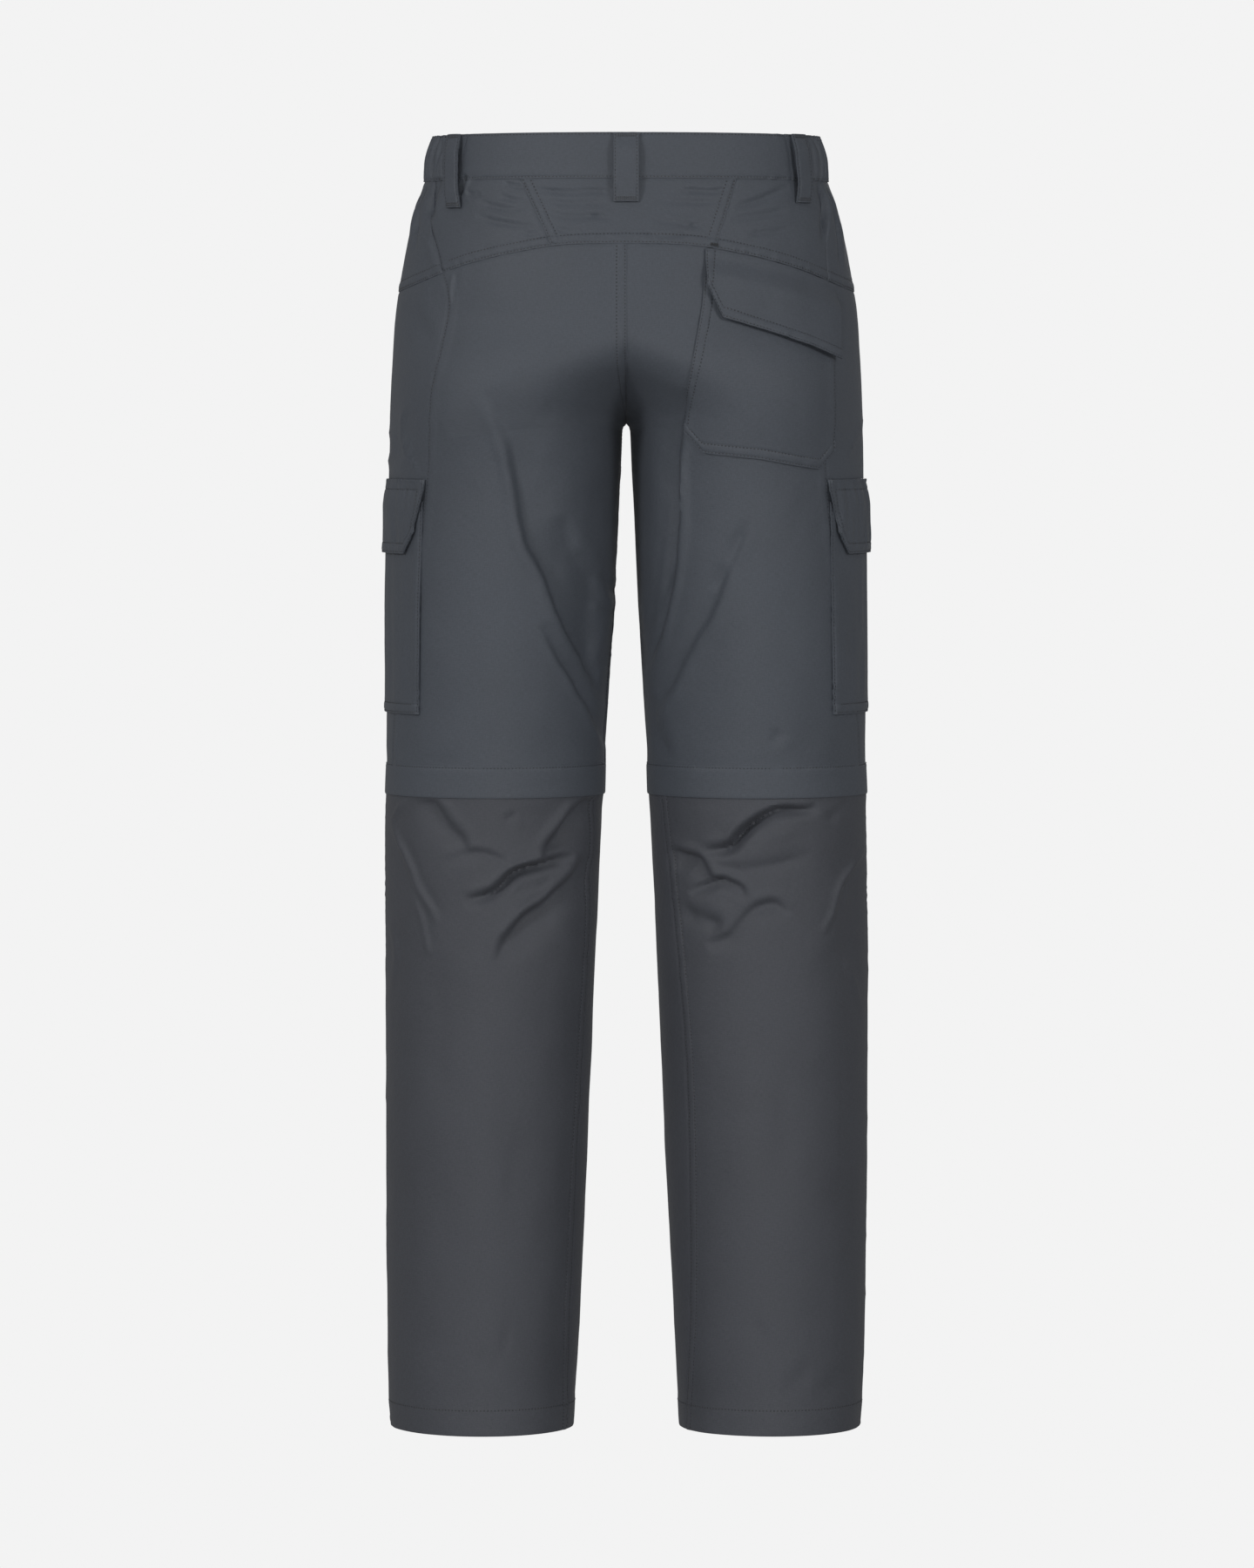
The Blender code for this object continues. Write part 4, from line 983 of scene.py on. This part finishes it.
def add_belt_loops():
    """Upright straps that stand off the waistband, sewn along their edges and tacked at their ends."""
    for name, facing, top_x, bottom_x, bottom, seat, width in BELT_LOOPS:
        down = stations(LOOP_TOP - bottom, PITCH_TRIM)
        z = between(LOOP_TOP, bottom, down)
        middle = between(top_x, bottom_x, down)
        side = LEFT if top_x < 0 else RIGHT
        bow = smooth(down * 3.6) * smooth((1 - down) * 3.6)
        lift = between(seat + LOOP_END_FOLD, LOOP_ROOM, bow) + CLOTH
        angle = angle_at(z, np.abs(middle), facing)
        tangent = (form(side, angle + 0.01, z) - form(side, angle - 0.01, z)) * side
        tangent /= np.linalg.norm(tangent, axis=-1, keepdims=True)
        out = form_normal(side, angle, z)
        across = (stations(width, PITCH_RIB) - 0.5) * width
        base = form(side, angle, z)[:, None] + tangent[:, None] * across[None, :, None]
        normal = np.broadcast_to(out[:, None], base.shape)
        crown = LOOP_CROWN * (1 - (2 * across / width) ** 2)
        outer, outward = add_cloth(name, base, normal, lift[:, None] + crown[None, :],
                                   {"left": "roll", "right": "roll", "bottom": "roll"},
                                   {"left": ONE_ROW, "right": ONE_ROW}, relief_share=0.0)
        for row in LOOP_TACK_ROWS:
            add_stitches("sewing_upper", outer[row, 3:-3], outward[row, 3:-3], **TACK_STITCH)


def add_back_pocket():
    """Patch pocket with a cut corner, and its flap."""
    low, high = POCKET_BOTTOM[0][0], POCKET_BOTTOM[-1][0]
    shares, down = share_grid(115, 135, PITCH_TRIM)
    top = yoke_line(between(FLAP_LEFT, POCKET_RIGHT, shares)) - POCKET_TOP_DROP
    z = between(top, straight(POCKET_BOTTOM)(between(low, high, shares)), down)
    x = between(straight(POCKET_LEFT)(z), POCKET_RIGHT, shares)
    base, normal = torso_grid(x, z)
    belly = POCKET_BELLY * np.sin(math.pi * shares) * np.sin(math.pi * np.minimum(down * 1.05, 1.0))
    add_cloth("back_pocket", base, normal, CLOTH + 0.4 + belly,
              PATCH_EDGES, {"left": TWO_ROWS, "bottom": TWO_ROWS, "right": ONE_ROW})

    low, high = FLAP_BOTTOM[0][0], FLAP_BOTTOM[-1][0]
    shares, down = share_grid(115, 66, PITCH_TRIM)
    x = between(FLAP_LEFT, FLAP_RIGHT, shares)
    top = yoke_line(x) - FLAP_TOP_DROP
    z = between(top, straight(FLAP_BOTTOM)(between(low, high, shares)), down)
    open_share = smooth((top - z - FLAP_SEWN) / (POCKET_TOP_DROP - FLAP_SEWN))
    lift = between(1.0, FLAP_STAND + 1.5 * shares, open_share) + CLOTH
    base, normal = torso_grid(x, z)
    add_cloth("back_pocket_flap", base, normal, lift,
              {"left": "lap", "right": "roll", "bottom": "lap", "top": "tuck"},
              {"left": TWO_ROWS, "bottom": TWO_ROWS})


def add_cargo_pockets():
    """Patch pockets on the outer thighs, with cut-cornered flaps."""
    back, front = math.radians(CARGO_BACK_DEG), math.radians(CARGO_FRONT_DEG)
    cut = math.radians(CARGO_FLAP_CUT_DEG)
    for side in (LEFT, RIGHT):
        shares, down = share_grid(150, 171, PITCH_BACK)
        z = between(CARGO_TOP, CARGO_BOTTOM, down)
        angle = between(back, front, shares)
        base, normal = half_grid(side, angle, z)
        belly = CARGO_BELLY * np.sin(math.pi * shares) ** 0.5 * np.sin(math.pi * down)
        pull = undulation(base, CARGO_PULL, (9, 9, 60), 41) * smooth(down * 8) * smooth((1 - down) * 5)
        add_cloth("cargo_pocket_" + SIDE_NAMES[side], base, normal, CLOTH + 0.5 + belly + pull,
                  PATCH_EDGES, {"left": ONE_ROW, "right": ONE_ROW, "bottom": TWO_ROWS})

        shares, down = share_grid(156, 60, PITCH_RIB, PITCH_TRIM)
        edge = CARGO_FLAP_OVERHANG - CARGO_FLAP_TAPER * smooth(down * 1.25 - 0.25)
        angle = between(back - edge, front + edge, shares)
        from_end = np.minimum(shares, 1 - shares) * (front - back)
        bottom = between(CARGO_FLAP_CORNER, CARGO_FLAP_BOTTOM, np.clip(from_end / cut, 0, 1))
        z = between(CARGO_FLAP_TOP, bottom, down)
        base, normal = half_grid(side, angle, z)
        lift = between(0.7, CARGO_FLAP_STAND, smooth(down * 2.6)) + CLOTH
        pull = undulation(base, CARGO_FLAP_PULL, (5, 5, 44), 43 + side)
        pull = pull * smooth(down * 7) * smooth((1 - down) * 5)
        turns = 2 * math.pi * lengths_along(base, 1) / RIB_PITCH
        ribs = np.sin(turns + 2 * soft_noise(base, (14, 14, 14), 47))
        pull += RIB_DEPTH * ribs * smooth(1.5 - down * 9)
        add_cloth("cargo_flap_" + SIDE_NAMES[side], base, normal, lift + pull,
                  PATCH_EDGES,
                  {"left": TWO_ROWS, "right": TWO_ROWS, "bottom": TWO_ROWS, "top": (ROW_FAR,)})


def add_fly():
    """Fly flap with a curved lower end."""
    shares, down = share_grid(38, 150, PITCH_TRIM)
    end = between(FLY_END, FLY_END + FLY_CURVE, shares ** 2)
    z = between(BAND_BOTTOM - 1.0, end, down)
    x = between(FLY_RIGHT, FLY_LEFT, shares)
    base, normal = torso_grid(x, z, "front")
    add_cloth("fly", base, normal, CLOTH + 0.5, {"left": "roll", "right": "lap", "bottom": "lap"},
              {"right": TWO_ROWS, "bottom": TWO_ROWS, "left": ONE_ROW})


def add_button():
    """Waistband button with a raised rim, four holes and its thread."""
    top = np.linspace(0.05, BUTTON_RADIUS - 0.5, 40)
    rise = BUTTON_DISH + BUTTON_RIM * np.sin(math.pi * np.clip((top - 5.0) / 3.6, 0, 1)) ** 0.7
    side = np.array([(BUTTON_RADIUS - 0.1, 2.0), (BUTTON_RADIUS, 1.4), (BUTTON_RADIUS - 0.1, 0.5),
                     (BUTTON_RADIUS - 0.5, 0.0), (0.05, 0.0)])
    radius = np.concatenate([top, side[:, 0]])
    height = np.concatenate([rise, side[:, 1]])
    turn = np.linspace(0, 2 * math.pi, 73)[:-1]
    x = radius[:, None] * np.cos(turn)
    z = radius[:, None] * np.sin(turn)
    lift = np.repeat(height[:, None], len(turn), axis=1)
    for hole_x, hole_z in BUTTON_HOLES:
        off = np.hypot(x[:len(top)] - hole_x, z[:len(top)] - hole_z)
        lift[:len(top)] -= BUTTON_HOLE_DEPTH * np.exp(-(off / BUTTON_HOLE_RADIUS) ** 6)
    middle = np.array([BUTTON_PLACE, front_depth(0.0) + 0.3, 0.0])
    verts = np.stack([x, lift, z], axis=-1).reshape(-1, 3) + middle
    index = np.arange(len(verts)).reshape(x.shape)
    after = np.roll(index, -1, axis=1)
    faces = np.stack([index[:-1], index[1:], after[1:], after[:-1]], axis=-1).reshape(-1, 4).tolist()
    faces += [index[0].tolist(), index[-1][::-1].tolist()]
    item = add_mesh("button_form", verts, faces, materials["matte_plastic"], sharp_deg=60)
    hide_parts("waist_button")
    for hole_x in (BUTTON_HOLES[0][0], BUTTON_HOLES[2][0]):
        ends = np.array([(hole_x, BUTTON_DISH, -2.0), (hole_x, BUTTON_DISH, 2.0)]) + middle
        add_stitches("sewing_upper", ends, np.array([(0, 1, 0), (0, 1, 0)], dtype=float), 3.6, 3.4)


def add_zip_teeth():
    """Two rows of small blocks on the inner face of each leg zip's tape."""
    count = int(2 * math.pi * ZIP_RADIUS / ZIP_PITCH)
    up = np.array((0.0, 0.0, 1.0))
    corners = np.array([(a, b, c) for a in (-1, 1) for b in (-1, 1) for c in (-1, 1)]) / 2.0
    box = np.array([(0, 1, 3, 2), (4, 6, 7, 5), (0, 4, 5, 1), (2, 3, 7, 6), (0, 2, 6, 4), (1, 5, 7, 3)])
    for side in (LEFT, RIGHT):
        verts = []
        for row in (-1, 1):
            turn = (np.arange(count) + row / 4) * 2 * math.pi / count
            z = np.full(count, ZIP_LINE + row * ZIP_TOOTH[1] * ZIP_ROW_SHIFT)
            base, normal = half_grid(side, turn, z)
            along = np.cross(normal, up)
            centre = base + normal * ZIP_TEETH_LIFT
            sizes = corners * np.array(ZIP_TOOTH)
            verts.append(centre[:, None] + along[:, None] * sizes[None, :, :1]
                         + up * sizes[None, :, 1:2] + normal[:, None] * sizes[None, :, 2:])
        verts = np.concatenate(verts).reshape(-1, 3)
        faces = (np.arange(len(verts) // 8)[:, None, None] * 8 + box[None]).reshape(-1, 4)
        add_mesh("zip_teeth_" + SIDE_NAMES[side], verts, faces, materials["matte_plastic"],
                 sharp_deg=30)


def join_stitches():
    """One mesh of small thread humps for each group of stitches."""
    for place, groups in stitches.items():
        start, end, out = (np.concatenate([group[part] for group in groups]) for part in range(3))
        along = end - start
        across = np.cross(along, out)
        across /= np.linalg.norm(across, axis=1, keepdims=True)
        out = out / np.linalg.norm(out, axis=1, keepdims=True)
        verts = [start - out * STITCH_ROOT]
        for share in (0.22, 0.78):
            centre = between(start, end, share)
            for turn in (0, 1, 2, 3):
                sideways = (STITCH_WIDTH / 2) * (1, 0, -1, 0)[turn]
                rise = (0.05, STITCH_RISE, 0.05, -0.15)[turn]
                verts.append(centre + across * sideways + out * rise)
        verts.append(end - out * STITCH_ROOT)
        verts = np.stack(verts, axis=1)
        count = verts.shape[1]
        faces = []
        for turn in range(4):
            after = (turn + 1) % 4
            faces += [(0, 1 + after, 1 + turn), (9, 5 + turn, 5 + after)]
            faces += [(1 + turn, 1 + after, 5 + after), (1 + turn, 5 + after, 5 + turn)]
        base = np.arange(len(verts))[:, None, None] * count
        faces = (base + np.array(faces)[None]).reshape(-1, 3)
        add_mesh(place, verts.reshape(-1, 3), faces, materials["thread"], sharp_deg=80)


class Nodes:
    """Short way to add and join shader nodes."""

    def __init__(self, tree):
        self.tree = tree

    def add(self, kind, inputs=None, output=0, **settings):
        """New node with its settings and inputs. Returns one of its outputs."""
        node = self.tree.nodes.new(kind)
        for key, value in settings.items():
            setattr(node, key, value)
        for key, value in (inputs or {}).items():
            if isinstance(value, bpy.types.NodeSocket):
                self.tree.links.new(value, node.inputs[key])
            else:
                node.inputs[key].default_value = value
        return node.outputs[output]

    def math(self, operation, first, second=0.0):
        return self.add("ShaderNodeMath", {0: first, 1: second}, operation=operation)

    def multiply_add(self, first, second, third):
        return self.add("ShaderNodeMath", {0: first, 1: second, 2: third}, operation="MULTIPLY_ADD")

    def spread(self, value, low, high, start=0.3, end=0.7):
        """Value of a range from start to end, moved to a range from low to high."""
        return self.add("ShaderNodeMapRange", {"Value": value, "From Min": start, "From Max": end,
                                               "To Min": low, "To Max": high})

    def product(self, colour, tint):
        return self.add("ShaderNodeVectorMath", {0: colour, 1: tint}, operation="MULTIPLY")

    def place(self):
        return self.add("ShaderNodeTexCoord", output="Object")

    def noise(self, vector, scale, detail=3.0, roughness=0.55):
        return self.add("ShaderNodeTexNoise",
                        {"Vector": vector, "Scale": scale, "Detail": detail, "Roughness": roughness})


def new_material(name):
    """Empty Principled material: its node helper and its shader."""
    material = bpy.data.materials.new(name)
    material.use_nodes = True
    materials[name] = material
    tree = material.node_tree
    return Nodes(tree), tree.nodes["Principled BSDF"], tree


def make_nylon(name, colour):
    """Plain-woven nylon: yarns, slubs, fine crinkle, soft colour variation and a little sheen."""
    nodes, shader, tree = new_material(name)
    uv = nodes.add("ShaderNodeUVMap", uv_map="cloth")
    place = nodes.place()
    turns = 2 * math.pi / (YARN * MM)
    parts = nodes.add("ShaderNodeSeparateXYZ", {0: uv}).node.outputs
    warp, weft = (nodes.math("SINE", nodes.math("MULTIPLY", part, turns)) for part in parts[:2])
    weave = nodes.math("MULTIPLY", warp, weft)
    lying, upright = (nodes.add("ShaderNodeMapping", {"Vector": uv, "Scale": scale})
                      for scale in ((260, 1300, 1), (1300, 260, 1)))
    slubs = nodes.math("ADD", nodes.noise(lying, 1.0, 2.0), nodes.noise(upright, 1.0, 2.0))
    cloud = nodes.noise(place, 14.0, 3.0)
    tint = nodes.math("MULTIPLY", nodes.spread(slubs, 0.90, 1.10, 0.7, 1.3), nodes.spread(cloud, 0.95, 1.05))
    tree.links.new(nodes.product(colour, tint), shader.inputs["Base Color"])
    tree.links.new(nodes.spread(cloud, 0.52, 0.62), shader.inputs["Roughness"])
    crinkle = nodes.add("ShaderNodeBump", {"Height": nodes.noise(place, 170.0, 4.0, 0.6),
                                           "Strength": 0.6, "Distance": 0.0004})
    yarns = nodes.math("ADD", nodes.math("MULTIPLY", weave, 0.5), slubs)
    woven = nodes.add("ShaderNodeBump", {"Height": yarns, "Strength": 0.7, "Distance": 0.00007,
                                         "Normal": crinkle})
    tree.links.new(woven, shader.inputs["Normal"])
    shader.inputs["Specular IOR Level"].default_value = 0.26
    shader.inputs["Sheen Weight"].default_value = 0.03
    shader.inputs["Sheen Roughness"].default_value = 0.45


def make_trim(name, colour, speck, tints, bump, roughness, ribs=None):
    """Speckled trim with fine relief. Its ribs, where it has them, are the relief instead of its specks."""
    nodes, shader, tree = new_material(name)
    place = nodes.place()
    specks = nodes.noise(place, *speck)
    height = specks
    if ribs:
        height = nodes.add("ShaderNodeTexWave", {"Vector": place, "Scale": ribs, "Distortion": 0.4},
                           bands_direction="Z")
    tree.links.new(nodes.product(colour, nodes.spread(specks, *tints)), shader.inputs["Base Color"])
    strength, distance = bump
    relief_node = nodes.add("ShaderNodeBump", {"Height": height, "Strength": strength, "Distance": distance})
    tree.links.new(relief_node, shader.inputs["Normal"])
    shader.inputs["Roughness"].default_value = roughness


def make_materials():
    """Nylon of two shades, twisted polyester thread whose dark colour is painted shade of the stitch holes,
    ribbed zip tape and matte moulded plastic.
    """
    make_nylon("nylon", NYLON)
    make_nylon("nylon_lower", NYLON_LOWER)
    # Thread with painted shade: its dark colour stands in for the shade of the stitch holes
    make_trim("thread", THREAD_PAINTED_SHADE, (2200.0, 2.0), (0.8, 1.25), (0.6, 0.0001), 0.45)
    make_trim("zip_tape", TAPE, (600.0,), (0.85, 1.15), (0.5, 0.0002), 0.6, ribs=420.0)
    make_trim("matte_plastic", PLASTIC, (900.0, 4.0), (0.85, 1.2), (0.3, 0.0001), 0.42)


def add_floor():
    """Pale floor that blends into the even background further out."""
    corners = ((-1, -1), (1, -1), (1, 1), (-1, 1))
    verts = [(x * FLOOR_HALF_M, y * FLOOR_HALF_M, FLOOR_HEIGHT_M) for x, y in corners]
    mesh = bpy.data.meshes.new("floor")
    mesh.from_pydata(verts, [], [(0, 1, 2, 3)])
    floor = bpy.data.objects.new("floor", mesh)
    bpy.context.scene.collection.objects.link(floor)
    nodes, shader, tree = new_material("floor")
    radius = nodes.add("ShaderNodeVectorMath", {0: nodes.place()}, "Value", operation="LENGTH")
    near = math.hypot(FLOOR_PLAIN_M, FLOOR_HEIGHT_M)
    far = nodes.spread(radius, 0.0, 1.0, near, FLOOR_END_M)
    far.node.interpolation_type = "SMOOTHSTEP"
    glow = nodes.add("ShaderNodeEmission", {"Color": (1, 1, 1, 1), "Strength": BACKGROUND})
    mix = nodes.add("ShaderNodeMixShader", {0: far, 1: shader.outputs[0], 2: glow})
    tree.links.new(mix, tree.nodes["Material Output"].inputs["Surface"])
    shader.inputs["Base Color"].default_value = (0.82, 0.82, 0.82, 1)
    shader.inputs["Roughness"].default_value = 0.8
    mesh.materials.append(materials["floor"])
    floor.visible_diffuse = False
    floor.visible_glossy = False


def add_light(name, place, aim, size, power):
    """Soft area light pointed at a spot."""
    data = bpy.data.lights.new(name, "AREA")
    data.shape = "DISK"
    data.size = size
    data.energy = power
    light = bpy.data.objects.new(name, data)
    light.location = place
    light.rotation_euler = (Vector(aim) - Vector(place)).to_track_quat("-Z", "Y").to_euler()
    bpy.context.scene.collection.objects.link(light)


def add_lights():
    """Soft studio light: pale surroundings, two keys behind the wearer, a low light and a front light."""
    world = bpy.data.worlds.new("studio")
    bpy.context.scene.world = world
    world.use_nodes = True
    tree = world.node_tree
    nodes = Nodes(tree)
    tree.nodes.clear()
    direction = nodes.add("ShaderNodeTexCoord", output="Generated")
    parts = nodes.add("ShaderNodeSeparateXYZ", {0: direction}).node.outputs
    rise = nodes.spread(parts["Z"], WORLD_BELOW, WORLD_ABOVE, -1.0, 1.0)
    sideways = nodes.multiply_add(parts["X"], WORLD_LEAN_X, 1.0)
    lean = nodes.multiply_add(parts["Y"], WORLD_LEAN_Y, sideways)
    around = nodes.add("ShaderNodeBackground", {"Color": rise, "Strength": lean})
    seen = nodes.add("ShaderNodeBackground", {"Color": (BACKGROUND, BACKGROUND, BACKGROUND, 1)})
    camera_ray = nodes.add("ShaderNodeLightPath", output="Is Camera Ray")
    mix = nodes.add("ShaderNodeMixShader", {0: camera_ray, 1: around, 2: seen})
    tree.links.new(mix, tree.nodes.new("ShaderNodeOutputWorld").inputs["Surface"])
    for light in LIGHTS:
        add_light(*light)


def add_camera():
    """Camera behind the wearer, a little above the middle of the garment."""
    tilt = math.radians(CAMERA_TILT_DEG)
    data = bpy.data.cameras.new("camera")
    data.lens = CAMERA_LENS
    data.sensor_fit = "VERTICAL"
    data.sensor_height = SENSOR
    data.sensor_width = SENSOR
    camera = bpy.data.objects.new("camera", data)
    back = Vector((0, -math.cos(tilt), math.sin(tilt))) * CAMERA_DISTANCE_M
    camera.location = Vector(CAMERA_AIM_M) + back
    camera.rotation_euler = (math.radians(90) - tilt, 0, 0)
    bpy.context.scene.collection.objects.link(camera)
    bpy.context.scene.camera = camera


materials = {}


def finish_cad_nodes():
    """Materials of the solids that stay as they are."""
    for node in ("leg_zip_left", "leg_zip_right"):
        bpy.data.objects[node].material_slots[0].material = materials["zip_tape"]


def main():
    """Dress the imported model."""
    bpy.context.scene.view_settings.view_transform = "Standard"
    make_materials()
    add_camera()
    add_lights()
    add_floor()
    finish_cad_nodes()
    add_waistband()
    add_yokes()
    add_upper_legs()
    add_leg_zips()
    add_lower_legs()
    add_belt_loops()
    add_back_pocket()
    add_cargo_pockets()
    add_fly()
    add_button()
    add_zip_teeth()
    join_stitches()


main()
